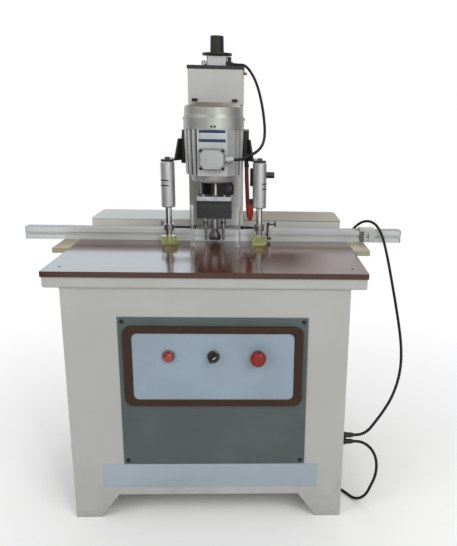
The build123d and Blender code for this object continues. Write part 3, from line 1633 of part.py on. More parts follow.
gland_end = cabinet_width / 2 + gland_length
elbow_exit = elbow_end_y - table_front
with BuildPart() as motor_cable_lower:
    cord(
        "motor_cable_lower",
        [
            (elbow_x, elbow_exit, deck_gland_z), (elbow_x, 491, deck_gland_z), (404.5, 478, 702),
            (410.5, 465.5, 706.5), (418, 453.5, 713.5), (425, 442, 723.5), (431.5, 431, 734.5),
            (439.5, 420.5, 744.5), (449, 410.5, 752), (460.5, 400.5, 756), (473, 391, 754.5),
            (484.5, 381.5, 747), (494, 372, 733.5), (502, 361.5, 714.5), (509.5, 349, 686),
            (517.5, 327, 644), (526, 296, 587), (533.5, 262, 531), (539, 227, 478), (541, 192, 430),
            (536, 159, 384), (523, 132, 345), (503, 109.5, 306), (476, 90, 272.5), (453, 76, 249),
            (439.5, 68, 235.2), (428, 63.7, 227.7), (416.7, 61.2, 223.2),
            (405, gland_setback, gland_height), (gland_end, gland_setback, gland_height),
        ],
    )
motor_cable_lower.part.label = "motor_cable_lower"
export_step(motor_cable_lower.part, "parts/motor_cable_lower.step")

lying_z = cord_radius + floor_gap
lead_height = gland_height - gland_pitch
coil_start = coil_x + coil_radius
with BuildPart() as mains_lead:
    cord(
        "mains_lead",
        [
            (gland_end, gland_setback, lead_height), (408, gland_setback, lead_height), (424, 60, 196),
            (439, 60, 185), (451, 60, 169.5), (459.5, 60, 150), (463.5, 60, 127), (463, 60, 103),
            (458, 59.5, 81), (449.5, 59, 61), (444, 58, 47), (437, 59, 34), (429, 63.5, 22.5),
            (420.5, 70.5, 13.5), (411.5, 80, 7.3), (403, 92, lying_z), (394, 106, lying_z),
            (379, 127, lying_z), (359, 151, lying_z), (336, 175, lying_z), (313, 202, lying_z),
            (293, 233, lying_z), (280, 266, lying_z), (coil_start, 298, lying_z),
            (coil_start, coil_setback - 2 * cord_radius, lying_z),
        ],
    )
mains_lead.part.label = "mains_lead"
export_step(mains_lead.part, "parts/mains_lead.step")

# Mains coil: half turns that spiral in on the floor, climb a layer and spiral out again
coil_y = table_front + coil_setback
upper_z = lying_z + coil_layer
inner_radius = coil_radius - coil_half_turns * coil_pitch / 2
with BuildPart() as mains_coil:
    with BuildLine() as coil_path:
        Line((coil_start, coil_y - 2 * cord_radius, lying_z), (coil_start, coil_y, lying_z))
        side = 1
        for start_radius, step, height in (
            (coil_radius, -coil_pitch / 2, lying_z), (inner_radius, coil_pitch / 2, upper_z),
        ):
            for turn in range(coil_half_turns):
                start = side * (start_radius + turn * step)
                end = -side * (start_radius + (turn + 1) * step)
                ThreePointArc(
                    (coil_x + start, coil_y, height),
                    (coil_x + (start + end) / 2, coil_y + (start - end) / 2, height),
                    (coil_x + end, coil_y, height),
                )
                side = -side
            if height == lying_z:
                climb_start = Vector(coil_x + side * inner_radius, coil_y, lying_z)
                climb_end = Vector(coil_x - side * inner_radius, coil_y, upper_z)
                climb = climb_end - climb_start
                halfway = (climb_start + climb_end) / 2 + Vector(0, side * climb.length / 2, 0)
                TangentArc(climb_start, halfway, tangent=(0, side, 0))
                TangentArc(halfway, climb_end, tangent=climb)
                side = -side
        tail_x = coil_x + side * coil_radius
        Line((tail_x, coil_y, upper_z), (tail_x, coil_y - 2 * cord_radius, upper_z))
    with BuildSketch(Plane(origin=coil_path.wire() @ 0, z_dir=coil_path.wire() % 0)):
        Circle(cord_radius)
    sweep()
mains_coil.part.label = "mains_coil"
export_step(mains_coil.part, "parts/mains_coil.step")

# The coil's least gap to itself, measured between points along its middle line
coil_wire = coil_path.wire()
coil_length = coil_wire.length
samples = round(coil_length / 2)
trail = [tuple(coil_wire @ (step / samples)) for step in range(samples + 1)]
least = coil_length
for first, here in enumerate(trail):
    for there in trail[first + round(3 * cord_radius):]:
        least = min(least, dist(here, there))
print("mains_coil length", round(coil_length), "least gap", round(least - 2 * cord_radius, 2))

# Plug lying beside the coil, with flat pins
plug_start = coil_y - 2 * cord_radius
plug_back = plug_start - plug_neck
plug_front = plug_back - plug_length
with BuildPart() as mains_plug:
    bar(
        tail_x - plug_width / 2, tail_x + plug_width / 2, plug_front, plug_back,
        upper_z - plug_height / 2, upper_z + plug_height / 2,
    )
    fillet(mains_plug.edges(), plug_height / 6)
    with Locations((tail_x, (plug_start + plug_back) / 2, upper_z)):
        Cone(gland_tip, plug_neck_radius, plug_neck, rotation=(90, 0, 0))
    for across, up in ((-1, 1), (1, 1), (0, -1)):
        pin_x = tail_x + across * plug_pin_spacing / 2
        pin_z = upper_z + up * plug_pin_spacing / 4
        bar(
            pin_x - plug_pin_thickness / 2, pin_x + plug_pin_thickness / 2,
            plug_front - plug_pin_length, plug_front, pin_z - plug_pin_width / 2, pin_z + plug_pin_width / 2,
        )
mains_plug.part.label = "mains_plug"
export_step(mains_plug.part, "parts/mains_plug.step")

with BuildPart() as air_hose:
    cord(
        "air_hose",
        [
            (hose_place, hose_setback, arm_bottom - hose_fitting_length), (hose_place, hose_setback, 889),
            (93.9, 408.3, 863), (95.2, 408.5, 834), (96.4, 408, 808), (97.3, 406, 789),
            (98.5, 400.5, 775), (100.3, 390.5, 765), (102.3, 379, 761), (104.3, 367, 763.5),
            (106.1, 357.5, 771.5), (107.5, 352.6, 784), (port_x, port_y - table_front, 797),
            (port_x, port_y - table_front, port_z - hose_fitting_length),
        ],
        hose_radius,
    )
air_hose.part.label = "air_hose"
export_step(air_hose.part, "parts/air_hose.step")
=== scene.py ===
import math
import bmesh
import bpy
from mathutils import Matrix, Vector


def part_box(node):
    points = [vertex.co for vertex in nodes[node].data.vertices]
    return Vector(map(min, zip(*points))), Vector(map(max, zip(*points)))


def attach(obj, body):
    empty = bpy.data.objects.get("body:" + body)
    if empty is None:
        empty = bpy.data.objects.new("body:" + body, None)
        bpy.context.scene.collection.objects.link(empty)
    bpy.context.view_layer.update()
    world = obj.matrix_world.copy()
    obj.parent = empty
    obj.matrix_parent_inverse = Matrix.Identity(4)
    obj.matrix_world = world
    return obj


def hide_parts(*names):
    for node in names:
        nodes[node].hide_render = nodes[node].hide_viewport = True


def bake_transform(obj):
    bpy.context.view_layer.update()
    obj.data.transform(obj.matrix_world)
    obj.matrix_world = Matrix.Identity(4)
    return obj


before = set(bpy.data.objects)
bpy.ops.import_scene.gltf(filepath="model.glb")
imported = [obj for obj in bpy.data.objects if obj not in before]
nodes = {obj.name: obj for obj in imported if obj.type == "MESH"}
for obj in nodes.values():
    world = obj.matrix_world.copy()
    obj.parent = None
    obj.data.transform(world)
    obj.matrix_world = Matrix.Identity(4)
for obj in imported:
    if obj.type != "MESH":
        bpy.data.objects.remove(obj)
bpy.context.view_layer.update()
scene = bpy.context.scene
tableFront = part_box("table_top")[0].y
print("frame loaded:", len(nodes), "nodes")


# small helpers for colours and nodes

plainLook = {                                # what a finish has where its own settings don't say
    "stretch": (1, 1, 1), "depth": 0.0002, "edgeWidth": 0.0008, "edgeShare": 0.5,
    "zones": [], "fades": [], "sockets": {},
}
texture = {                                  # shared by all finishes
    "cloudDetail": 5.0, "clouds": (0.35, 0.65), "grainDetail": 3.0, "grains": (0.3, 0.7),
    "tops": (0.15, 0.85), "rubbed": (0.99, 0.88), "edgeSamples": 4,
    "lowMarkScale": 22, "lowMarkDetail": 8.0, "lowMarkNoise": (0.4, 0.7),
}


def tone(red, green, blue):                  # display numbers to the linear ones a shader takes
    return [((part / 255 + 0.055) / 1.055) ** 2.4 for part in (red, green, blue)] + [1.0]


def feed(tree, socket, value):               # a link or a plain value
    if isinstance(value, bpy.types.NodeSocket):
        tree.links.new(value, socket)
    else:
        socket.default_value = value


def addNode(tree, kind, values=None, **links):
    node = tree.nodes.new(kind)
    for socket, value in {**(values or {}), **links}.items():
        feed(tree, node.inputs[socket], value)
    return node


def addMath(tree, operation, *terms, kind="Math", result="Value"):   # terms are links or plain values
    step = tree.nodes.new("ShaderNode" + kind)
    step.operation = operation
    for socket, term in zip(step.inputs, terms):
        feed(tree, socket, term)
    return step.outputs[result]


def addNoise(tree, where, scale, detail, rough=0.55):
    settings = {"Scale": scale, "Detail": detail, "Roughness": rough}
    return addNode(tree, "ShaderNodeTexNoise", settings, Vector=where).outputs["Fac"]


def addRange(tree, source, fromLow, fromHigh, toLow=0, toHigh=1):
    limits = {"From Min": fromLow, "From Max": fromHigh, "To Min": toLow, "To Max": toHigh}
    return addNode(tree, "ShaderNodeMapRange", limits, Value=source).outputs["Result"]


def addMix(tree, share, first, second):
    mix = tree.nodes.new("ShaderNodeMix")
    mix.data_type = "RGBA"
    for number, value in ((0, share), (6, first), (7, second)):      # its factor and two colour sockets
        feed(tree, mix.inputs[number], value)
    return mix.outputs[2]


def addBlend(tree, share, first, second):    # one shader into another
    blend = addNode(tree, "ShaderNodeMixShader", {1: first, 2: second}, Fac=share)
    return blend.outputs["Shader"]


def addAxis(tree, source, axis):
    return addNode(tree, "ShaderNodeSeparateXYZ", Vector=source).outputs[axis]


def addZone(tree, where, low, high):         # 1 inside a box of the object's own coordinates
    inside = None
    for axis, bottom, top in zip("XYZ", low, high):
        near = addMath(tree, "COMPARE", addAxis(tree, where, axis), (bottom + top) / 2, (top - bottom) / 2)
        inside = near if inside is None else addMath(tree, "MULTIPLY", inside, near)
    return inside


def addUpward(tree, least, most):            # 1 on faces that look up
    face = addNode(tree, "ShaderNodeNewGeometry").outputs["Normal"]
    return addRange(tree, addAxis(tree, face, "Z"), least, most)


def addSeen(tree):                           # 1 for what the eye, metal and glass look at
    ray = addNode(tree, "ShaderNodeLightPath").outputs
    either = addMath(tree, "MAXIMUM", ray["Is Camera Ray"], ray["Is Glossy Ray"])
    return addMath(tree, "MAXIMUM", either, ray["Is Transmission Ray"])


def addRelief(tree, shader, height, look):   # bump over softened edges, whose normal comes back
    soft = addNode(tree, "ShaderNodeBevel", {"Radius": look["edgeWidth"]})
    soft.samples = texture["edgeSamples"]
    bumps = addNode(tree, "ShaderNodeBump", {"Strength": look["bump"], "Distance": look["depth"]},
                    Height=height, Normal=soft.outputs["Normal"])
    tree.links.new(bumps.outputs["Normal"], shader.inputs["Normal"])
    return soft.outputs["Normal"]


def startFinish(name):                       # material, its tree, its shader and the object's coordinates
    finish = bpy.data.materials.new(name)
    finish.use_nodes = True
    tree = finish.node_tree
    where = addNode(tree, "ShaderNodeTexCoord").outputs["Object"]
    return finish, tree, tree.nodes["Principled BSDF"], where


def makeFinish(name, settings):
    look = {**plainLook, **settings}
    finish, tree, shader, where = startFinish(name)
    drawn = addNode(tree, "ShaderNodeMapping", {"Scale": look["stretch"]}, Vector=where).outputs["Vector"]
    clouds = addRange(tree, addNoise(tree, drawn, look["patch"], texture["cloudDetail"]), *texture["clouds"])
    spots = addNoise(tree, drawn, look["grain"], texture["grainDetail"])
    softNormal = addRelief(tree, shader, spots, look)
    colour = addMix(tree, clouds, tone(*look["shade"]), tone(*look["colour"]))
    for low, high, zoneTone in look["zones"]:
        colour = addMix(tree, addZone(tree, where, low, high), colour, tone(*zoneTone))
    for axis, near, far, fadeTone in look["fades"]:          # a slow change of tone along one axis
        along = addRange(tree, addAxis(tree, where, axis), near, far)
        colour = addMix(tree, along, colour, tone(*fadeTone))
    if "upward" in look:                     # painted light on tops: the cowl's take a painted reflection of the room's warmer tone, the fence's a painted shade
        colour = addMix(tree, addUpward(tree, *texture["tops"]), colour, tone(*look["upward"]))
    if "paintedGapShade" in look:                       # painted shade: the deeper between the fins, the darker
        middleX, middleY, deep, high, gapShadeTone = look["paintedGapShade"]
        flat = addMath(tree, "MULTIPLY_ADD", where, (1, 1, 0), (-middleX, -middleY, 0),
                       kind="VectorMath", result="Vector")
        reach = addMath(tree, "LENGTH", flat, kind="VectorMath")
        colour = addMix(tree, addRange(tree, reach, deep, high, 1, 0), colour, tone(*gapShadeTone))
    if "edge" in look:                       # lighter along the edges: paint rubbed thin there, and a painted highlight ring on the collar bolt
        face = addNode(tree, "ShaderNodeNewGeometry").outputs["Normal"]
        bend = addMath(tree, "DOT_PRODUCT", softNormal, face, kind="VectorMath")
        rubbed = addRange(tree, bend, *texture["rubbed"], 0, look["edgeShare"])
        colour = addMix(tree, rubbed, colour, tone(*look["edge"]))
    if "lowMarkTone" in look:                       # darker, uneven marks low down on the uprights
        low = addRange(tree, addAxis(tree, where, "Z"), 0, look["lowMarkHeight"], look["lowMarkShare"], 0)
        lowMarkNoise = addNoise(tree, where, texture["lowMarkScale"], texture["lowMarkDetail"])
        marks = addMath(tree, "MULTIPLY", low, addRange(tree, lowMarkNoise, *texture["lowMarkNoise"]))
        colour = addMix(tree, marks, colour, tone(*look["lowMarkTone"]))
    feed(tree, shader.inputs["Base Color"], colour)
    feed(tree, shader.inputs["Roughness"], addRange(tree, spots, *texture["grains"], *look["rough"]))
    for socket, value in look["sockets"].items():
        feed(tree, shader.inputs[socket], value)
    return finish


def coat(finish, names):
    for name in names:
        nodes[name].data.materials.clear()
        nodes[name].data.materials.append(finish)


def dress(name, look):                       # one finish for a few nodes
    finish = makeFinish(name, look)
    coat(finish, look["nodes"])
    return finish


# small helpers for meshes

shaping = {"smooth": 32, "cornerSteps": 6, "edgeSteps": 2, "straight": 0.99}
screwHead = {
    "sides": 28, "socketSides": 6, "socketShare": 0.5, "socketDeep": 0.6, "round": 0.14, "roundSteps": 3,
}


def joinShapes(shapes):                      # several small shapes into one mesh
    whole = bmesh.new()
    for shape in shapes:
        carrier = bpy.data.meshes.new("carrier")
        shape.to_mesh(carrier)
        shape.free()
        whole.from_mesh(carrier)
        bpy.data.meshes.remove(carrier)
    return whole


def makeObject(name, shape, finish):
    mesh = bpy.data.meshes.new(name)
    shape.to_mesh(mesh)
    shape.free()
    mesh.materials.append(finish)
    made = bpy.data.objects.new(name, mesh)
    scene.collection.objects.link(made)
    return made


def makePiece(name, shape, finish, body):
    bmesh.ops.recalc_face_normals(shape, faces=shape.faces)
    piece = makeObject(name, shape, finish)
    piece.data.shade_smooth()
    piece.data.set_sharp_from_angle(angle=math.radians(shaping["smooth"]))
    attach(piece, body)


def roundOff(shape, edges, width, steps):
    bmesh.ops.bevel(shape, geom=edges, offset=width, offset_type="OFFSET", segments=steps,
                    profile=0.5, affect="EDGES", material=-1)


def runsBack(edge):
    run = edge.verts[1].co - edge.verts[0].co
    return abs(run.y) > shaping["straight"] * run.length


def makePlate(low, high, corner, softEdge):  # flat plate that faces the front, with round corners
    plate = bmesh.new()
    bmesh.ops.create_cube(plate, size=1.0)
    bmesh.ops.scale(plate, vec=Vector(high) - Vector(low), verts=plate.verts)
    bmesh.ops.translate(plate, vec=(Vector(high) + Vector(low)) / 2, verts=plate.verts)
    roundOff(plate, [edge for edge in plate.edges if runsBack(edge)], corner, shaping["cornerSteps"])
    if softEdge > 0:
        rims = [edge for edge in plate.edges if not runsBack(edge)]
        roundOff(plate, rims, softEdge, shaping["edgeSteps"])
    return plate


def only(kind, items):                       # one kind of what an operator gives back
    return [item for item in items if isinstance(item, kind)]


def makeScrew(size, place, facing):          # round head with a hexagon socket
    radius, height = size["radius"], size["height"]
    screw = bmesh.new()
    bmesh.ops.create_circle(screw, cap_ends=True, segments=screwHead["sides"], radius=radius)
    lifted = bmesh.ops.extrude_face_region(screw, geom=list(screw.faces))["geom"]
    bmesh.ops.translate(screw, vec=(0, 0, height), verts=only(bmesh.types.BMVert, lifted))
    topFace = only(bmesh.types.BMFace, lifted)[0]
    rim = list(topFace.edges)
    bmesh.ops.delete(screw, geom=[topFace], context="FACES_ONLY")
    socketRadius = radius * screwHead["socketShare"]
    socket = bmesh.ops.create_circle(screw, segments=screwHead["socketSides"], radius=socketRadius)["verts"]
    bmesh.ops.translate(screw, vec=(0, 0, height), verts=socket)
    ring = [edge for edge in screw.edges if edge.verts[0] in socket]
    bmesh.ops.bridge_loops(screw, edges=rim + ring)
    pit = bmesh.ops.extrude_edge_only(screw, edges=ring)["geom"]
    sink = (0, 0, -screwHead["socketDeep"] * height)
    bmesh.ops.translate(screw, vec=sink, verts=only(bmesh.types.BMVert, pit))
    bmesh.ops.contextual_create(screw, geom=only(bmesh.types.BMEdge, pit))
    roundOff(screw, rim, screwHead["round"] * radius, screwHead["roundSteps"])
    turn = Vector(facing).to_track_quat("Z", "Y").to_matrix().to_4x4()
    bmesh.ops.transform(screw, matrix=Matrix.Translation(place) @ turn, verts=screw.verts)
    return screw


# camera at the photograph's viewing angle, worked out for a frame of 457 by 546

cameraSet = {
    "place": (0.1142, -1.492, 1.0834),       # across, from the table's front edge, up
    "yaw": 2.54, "pitch": 15.82, "roll": 1.15,
    "focal": 632.4, "middle": (279.9, 286.5),
    "frame": (457, 546), "sensor": 36.0,
}
yaw, pitch, roll = (math.radians(cameraSet[key]) for key in ("yaw", "pitch", "roll"))
across, tall = cameraSet["frame"]
ahead = Vector((math.sin(yaw), math.cos(yaw), 0))
sideways = Vector((math.cos(yaw), -math.sin(yaw), 0))
upward = Vector((0, 0, 1))
forward = ahead * math.cos(pitch) - upward * math.sin(pitch)
lifted = upward * math.cos(pitch) + ahead * math.sin(pitch)
cameraX = sideways * math.cos(roll) + lifted * math.sin(roll)
cameraY = lifted * math.cos(roll) - sideways * math.sin(roll)
cameraData = bpy.data.cameras.new("camera")
cameraData.sensor_width = cameraSet["sensor"]
cameraData.lens = cameraSet["sensor"] * cameraSet["focal"] / tall
cameraData.shift_x = (across / 2 - cameraSet["middle"][0]) / tall
cameraData.shift_y = (cameraSet["middle"][1] - tall / 2) / tall
camera = bpy.data.objects.new("camera", cameraData)
cameraTurn = Matrix((cameraX, cameraY, -forward)).transposed().to_4x4()
cameraSpot = Vector(cameraSet["place"]) + Vector((0, tableFront, 0))
camera.matrix_world = Matrix.Translation(cameraSpot) @ cameraTurn
scene.collection.objects.link(camera)
scene.camera = camera
print("camera set")


# soft studio light, a pale floor that runs out to white, and dark cards for metal and gloss to reflect

studio = {
    "sky": 0.55, "skyTint": (1.0, 1.0, 0.99),
    "lamps": {                               # place, what it looks at, width, height, power, tint
        "key": ((1.7, -2.6, 2.7), (0, 0, 0.75), 1.7, 1.7, 40, (1.0, 1.0, 1.0)),
        "fill": ((-2.4, -2.0, 2.0), (0, 0, 0.75), 2.0, 2.0, 31, (1.0, 1.0, 1.0)),
        "back": ((0.3, 2.4, 2.6), (0, 0, 0.75), 1.5, 1.5, 22, (1.0, 1.0, 1.0)),
        "strip": ((0.85, -2.5, 1.4), (0, 0, 0.9), 0.06, 1.5, 6, (1.0, 1.0, 1.0)),
        "window": ((-0.9, 2.2, 1.6), (-0.4, -0.1, 0.7), 1.25, 0.85, 3.8, (0.62, 0.88, 1.0)),
    },
    "floor": (250, 250, 249), "floorSize": 14.0, "fadeFrom": 0.5, "fadeTo": 1.6,
    "cards": [                               # place, width, height, how far in its right side fades
        ((-1.92, -0.85, 1.0), 3.8, 2.2, 0.01), ((1.75, 0.25, 1.0), 1.9, 2.2, 0.01),
        ((0.195, 1.2, 0.85), 0.61, 0.42, 0.2),
    ],
    "card": (26, 25, 24), "cardRough": 0.9,
}
scene.view_settings.view_transform = "Standard"
world = bpy.data.worlds.new("studio")
world.use_nodes = True
scene.world = world
sky = world.node_tree
sky.nodes.clear()
glow = addNode(sky, "ShaderNodeBackground", {"Color": (*studio["skyTint"], 1), "Strength": studio["sky"]})
plain = addNode(sky, "ShaderNodeBackground", {"Color": (1, 1, 1, 1), "Strength": 1.0})
skyMix = addBlend(sky, addSeen(sky), glow.outputs["Background"], plain.outputs["Background"])
addNode(sky, "ShaderNodeOutputWorld", Surface=skyMix)

for lampName, (spot, aim, lampWidth, lampHeight, power, tint) in studio["lamps"].items():
    lampData = bpy.data.lights.new(lampName, "AREA")
    lampData.shape = "RECTANGLE"
    lampData.size = lampWidth
    lampData.size_y = lampHeight
    lampData.energy = power
    lampData.color = tint
    lamp = bpy.data.objects.new(lampName, lampData)
    lamp.location = spot
    lamp.rotation_mode = "QUATERNION"
    lamp.rotation_quaternion = (Vector(aim) - Vector(spot)).to_track_quat("-Z", "Y")
    lamp.visible_camera = False
    scene.collection.objects.link(lamp)

floorFinish, ground, spareShader, floorSpot = startFinish("floorPale")
ground.nodes.remove(spareShader)
spread = addMath(ground, "LENGTH", floorSpot, kind="VectorMath")
far = addRange(ground, spread, studio["fadeFrom"], studio["fadeTo"])
seenFar = addMath(ground, "MULTIPLY", far, addSeen(ground))
matte = addNode(ground, "ShaderNodeBsdfDiffuse", {"Color": tone(*studio["floor"])})
white = addNode(ground, "ShaderNodeEmission", {"Color": (1, 1, 1, 1), "Strength": 1.0})
floorMix = addBlend(ground, seenFar, matte.outputs["BSDF"], white.outputs["Emission"])
feed(ground, ground.nodes["Material Output"].inputs["Surface"], floorMix)
floorShape = bmesh.new()
bmesh.ops.create_grid(floorShape, x_segments=1, y_segments=1, size=studio["floorSize"])
floor = makeObject("floor", floorShape, floorFinish)


def makeCardFinish(width, fade):             # dark, and clear at its right side
    finish, tree, shader, where = startFinish("cardDark")
    feed(tree, shader.inputs["Base Color"], tone(*studio["card"]))
    feed(tree, shader.inputs["Roughness"], studio["cardRough"])
    clear = addNode(tree, "ShaderNodeBsdfTransparent")
    fading = addRange(tree, addAxis(tree, where, "X"), width / 2 - fade, width / 2)
    surface = addBlend(tree, fading, shader.outputs["BSDF"], clear.outputs["BSDF"])
    feed(tree, tree.nodes["Material Output"].inputs["Surface"], surface)
    return finish


for cardNumber, (cardSpot, cardWidth, cardHeight, cardFade) in enumerate(studio["cards"]):
    cardShape = bmesh.new()
    bmesh.ops.create_grid(cardShape, x_segments=1, y_segments=1, size=0.5)   # a metre wide and high at first
    bmesh.ops.scale(cardShape, vec=(cardWidth, cardHeight, 1), verts=cardShape.verts)
    card = makeObject("card" + str(cardNumber), cardShape, makeCardFinish(cardWidth, cardFade))
    card.location = cardSpot
    card.rotation_mode = "QUATERNION"
    card.rotation_quaternion = Vector((-cardSpot[0], -cardSpot[1], 0)).to_track_quat("Z", "Y")
    for sight in ("visible_camera", "visible_diffuse", "visible_shadow", "visible_transmission"):
        setattr(card, sight, False)
print("studio lit")


# cables, mains lead and hose: points across, back from the table's front edge, and up, in metres

cableLook = {
    "colour": (27, 27, 25), "shade": (21, 21, 20), "patch": 40, "grain": 900, "rough": (0.5, 0.65),
    "bump": 0.25, "sockets": {"Specular IOR Level": 0.25},
}
cordSteps = {"along": 10, "round": 5}
cableFinish = makeFinish("cableRubber", cableLook)


def onTable(route):
    return [Vector((x, tableFront + back, z)) for x, back, z in route]


def makeCord(name, route, radius):
    data = bpy.data.curves.new(name, "CURVE")
    data.dimensions = "3D"
    data.resolution_u = cordSteps["along"]
    data.bevel_depth = radius
    data.bevel_resolution = cordSteps["round"]
    data.use_fill_caps = True
    line = data.splines.new("NURBS")
    line.points.add(len(route) - 1)
    for point, place in zip(line.points, route):
        point.co = (*place, 1)
    line.order_u = 3
    line.use_endpoint_u = True
    cord = bpy.data.objects.new(name, data)
    scene.collection.objects.link(cord)
    return cord


def makeMesh(cord):                          # what the curve looks like now, as a mesh
    bpy.context.view_layer.update()
    seen = cord.evaluated_get(bpy.context.evaluated_depsgraph_get())
    return bpy.data.meshes.new_from_object(seen)


upperCable = {
    "length": 0.46, "radius": 0.004,
    "route": [
        (0.049, 0.527, 1.205), (0.058, 0.527, 1.205), (0.065, 0.5255, 1.2038), (0.072, 0.524, 1.204),
        (0.0795, 0.5215, 1.2036), (0.087, 0.518, 1.2), (0.0945, 0.513, 1.1935), (0.102, 0.507, 1.184),
        (0.11, 0.5, 1.1715), (0.118, 0.491, 1.1555), (0.1255, 0.4785, 1.135), (0.1325, 0.461, 1.109),
        (0.1385, 0.439, 1.08), (0.143, 0.414, 1.0475), (0.1452, 0.388, 1.018), (0.1435, 0.36, 0.995),
        (0.1375, 0.333, 0.979), (0.128, 0.311, 0.9675), (0.116, 0.294, 0.96), (0.103, 0.282, 0.9535),
        (0.089, 0.273, 0.9465), (0.072, 0.268, 0.943), (0.0593, 0.268, 0.943),
    ],
}
upperRoute = onTable(upperCable["route"])
upperLine = makeCord("upperLine", upperRoute, 0)
upperPath = [vert.co.copy() for vert in makeMesh(upperLine).vertices]
upperLine.data.bevel_depth = upperCable["radius"]
upperMesh = makeMesh(upperLine)
bpy.data.objects.remove(upperLine)
upperMesh.materials.clear()
upperMesh.materials.append(cableFinish)
upperMesh.shade_smooth()
motorCableUpper = bpy.data.objects.new("motorCableUpper", upperMesh)
scene.collection.objects.link(motorCableUpper)
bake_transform(motorCableUpper)
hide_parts("motor_cable_upper")

lowerCable = {
    "length": 0.856, "radius": 0.004,
    "route": [
        (0.402, 0.504, 0.7), (0.402, 0.491, 0.7), (0.4045, 0.478, 0.702), (0.4105, 0.4655, 0.7065),
        (0.418, 0.4535, 0.7135), (0.425, 0.442, 0.7235), (0.4315, 0.431, 0.7345), (0.4395, 0.4205, 0.7445),
        (0.449, 0.4105, 0.752), (0.4605, 0.4005, 0.756), (0.473, 0.391, 0.7545), (0.4845, 0.3815, 0.747),
        (0.494, 0.372, 0.7335), (0.502, 0.3615, 0.7145), (0.5095, 0.349, 0.686), (0.5175, 0.327, 0.644),
        (0.526, 0.296, 0.587), (0.5335, 0.262, 0.531), (0.539, 0.227, 0.478), (0.541, 0.192, 0.43),
        (0.536, 0.159, 0.384), (0.523, 0.132, 0.345), (0.503, 0.1095, 0.306), (0.476, 0.09, 0.2725),
        (0.453, 0.076, 0.249), (0.4395, 0.068, 0.2352), (0.428, 0.0637, 0.2277), (0.4167, 0.0612, 0.2232),
        (0.405, 0.06, 0.221), (0.393, 0.06, 0.221),
    ],
}
lowerRoute = onTable(lowerCable["route"])
motorCableLower = makeCord("motorCableLower", lowerRoute, lowerCable["radius"])
motorCableLower.data.materials.append(cableFinish)
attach(motorCableLower, "base")
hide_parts("motor_cable_lower")

mainsLead = {
    "length": 2.47, "radius": 0.004,
    "route": [
        (0.393, 0.06, 0.2015), (0.408, 0.06, 0.2015), (0.424, 0.06, 0.196), (0.439, 0.06, 0.185),
        (0.451, 0.06, 0.1695), (0.4595, 0.06, 0.15), (0.4635, 0.06, 0.127), (0.463, 0.06, 0.103),
        (0.458, 0.0595, 0.081), (0.4495, 0.059, 0.061), (0.444, 0.058, 0.047), (0.437, 0.059, 0.034),
        (0.429, 0.0635, 0.0225), (0.4205, 0.0705, 0.0135), (0.4115, 0.08, 0.0073), (0.403, 0.092, 0.0042),
        (0.394, 0.106, 0.0042), (0.379, 0.127, 0.0042), (0.359, 0.151, 0.0042), (0.336, 0.175, 0.0042),
        (0.313, 0.202, 0.0042), (0.293, 0.233, 0.0042), (0.28, 0.266, 0.0042), (0.275, 0.298, 0.0042),
        (0.275, 0.322, 0.0042),
    ],
    "coil": (0.215, 0.33), "coilRadius": 0.06, "pitch": 0.0104, "halfTurns": 7, "steps": 9,
    "lowLayer": 0.0042, "highLayer": 0.0136, "tail": (0.155, 0.322, 0.0136),
}


def coilPoints(lead):                        # spiral in on the floor, climb a layer, spiral out again
    middleX, middleBack = lead["coil"]
    inner = lead["coilRadius"] - lead["halfTurns"] * lead["pitch"] / 2
    low, high = lead["lowLayer"], lead["highLayer"]
    points, side = [], 1
    stages = [(lead["coilRadius"], -lead["pitch"] / 2, low, low, lead["halfTurns"]),
              (inner, 0, low, high, 1), (inner, lead["pitch"] / 2, high, high, lead["halfTurns"])]
    for startRadius, step, fromHeight, toHeight, turns in stages:
        for turn in range(turns):
            start = side * (startRadius + turn * step)
            end = -side * (startRadius + (turn + 1) * step)
            for share in range(lead["steps"]):
                angle = math.pi * share / lead["steps"]
                points.append((middleX + (start + end) / 2 + (start - end) / 2 * math.cos(angle),
                               middleBack + (start - end) / 2 * math.sin(angle),
                               fromHeight + (toHeight - fromHeight) * share / lead["steps"]))
            side = -side
    return points + [(middleX - lead["coilRadius"], middleBack, high), lead["tail"]]


leadRoute = onTable(mainsLead["route"] + coilPoints(mainsLead))
mainsCord = makeCord("mainsCord", leadRoute, mainsLead["radius"])
mainsCord.data.materials.append(cableFinish)
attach(mainsCord, "base")
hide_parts("mains_lead", "mains_coil")

airLine = {
    "length": 0.227, "radius": 0.006,
    "colour": (205, 50, 38), "shade": (184, 40, 30), "patch": 60, "grain": 700, "rough": (0.28, 0.4),
    "bump": 0.15, "sockets": {"Subsurface Weight": 0.15, "Coat Weight": 0.3},
    # painted shade: darker higher up the hose
    "fades": [("Z", 0.785, 0.815, (138, 44, 35))],
    "route": [
        (0.093, 0.408, 0.911), (0.093, 0.408, 0.889), (0.0939, 0.4083, 0.863), (0.0952, 0.4085, 0.834),
        (0.0964, 0.408, 0.808), (0.0973, 0.406, 0.789), (0.0985, 0.4005, 0.775), (0.1003, 0.3905, 0.765),
        (0.1023, 0.379, 0.761), (0.1043, 0.367, 0.7635), (0.1061, 0.3575, 0.7715), (0.1075, 0.3526, 0.784),
        (0.108, 0.351, 0.797), (0.108, 0.351, 0.81),
    ],
}
hoseRoute = onTable(airLine["route"])
airHose = makeCord("airHose", hoseRoute, airLine["radius"])
airHose.data.materials.append(makeFinish("hoseRed", airLine))
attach(airHose, "base")
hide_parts("air_hose")
print("cords laid")


# sheet metal of the stand

cabinet = {
    "nodes": ["cabinet_front", "cabinet_panels", "cabinet_floor"],
    "colour": (169, 169, 167), "shade": (164, 164, 161), "patch": 4, "grain": 380, "rough": (0.42, 0.55),
    "bump": 0.12, "edge": (196, 196, 193), "edgeWidth": 0.002,
    # darker towards the bottom, broken up by noise
    "lowMarkTone": (138, 136, 128), "lowMarkHeight": 0.22, "lowMarkShare": 0.55, "sockets": {"Specular IOR Level": 0.35},
}
dress("cabinetPaint", cabinet)

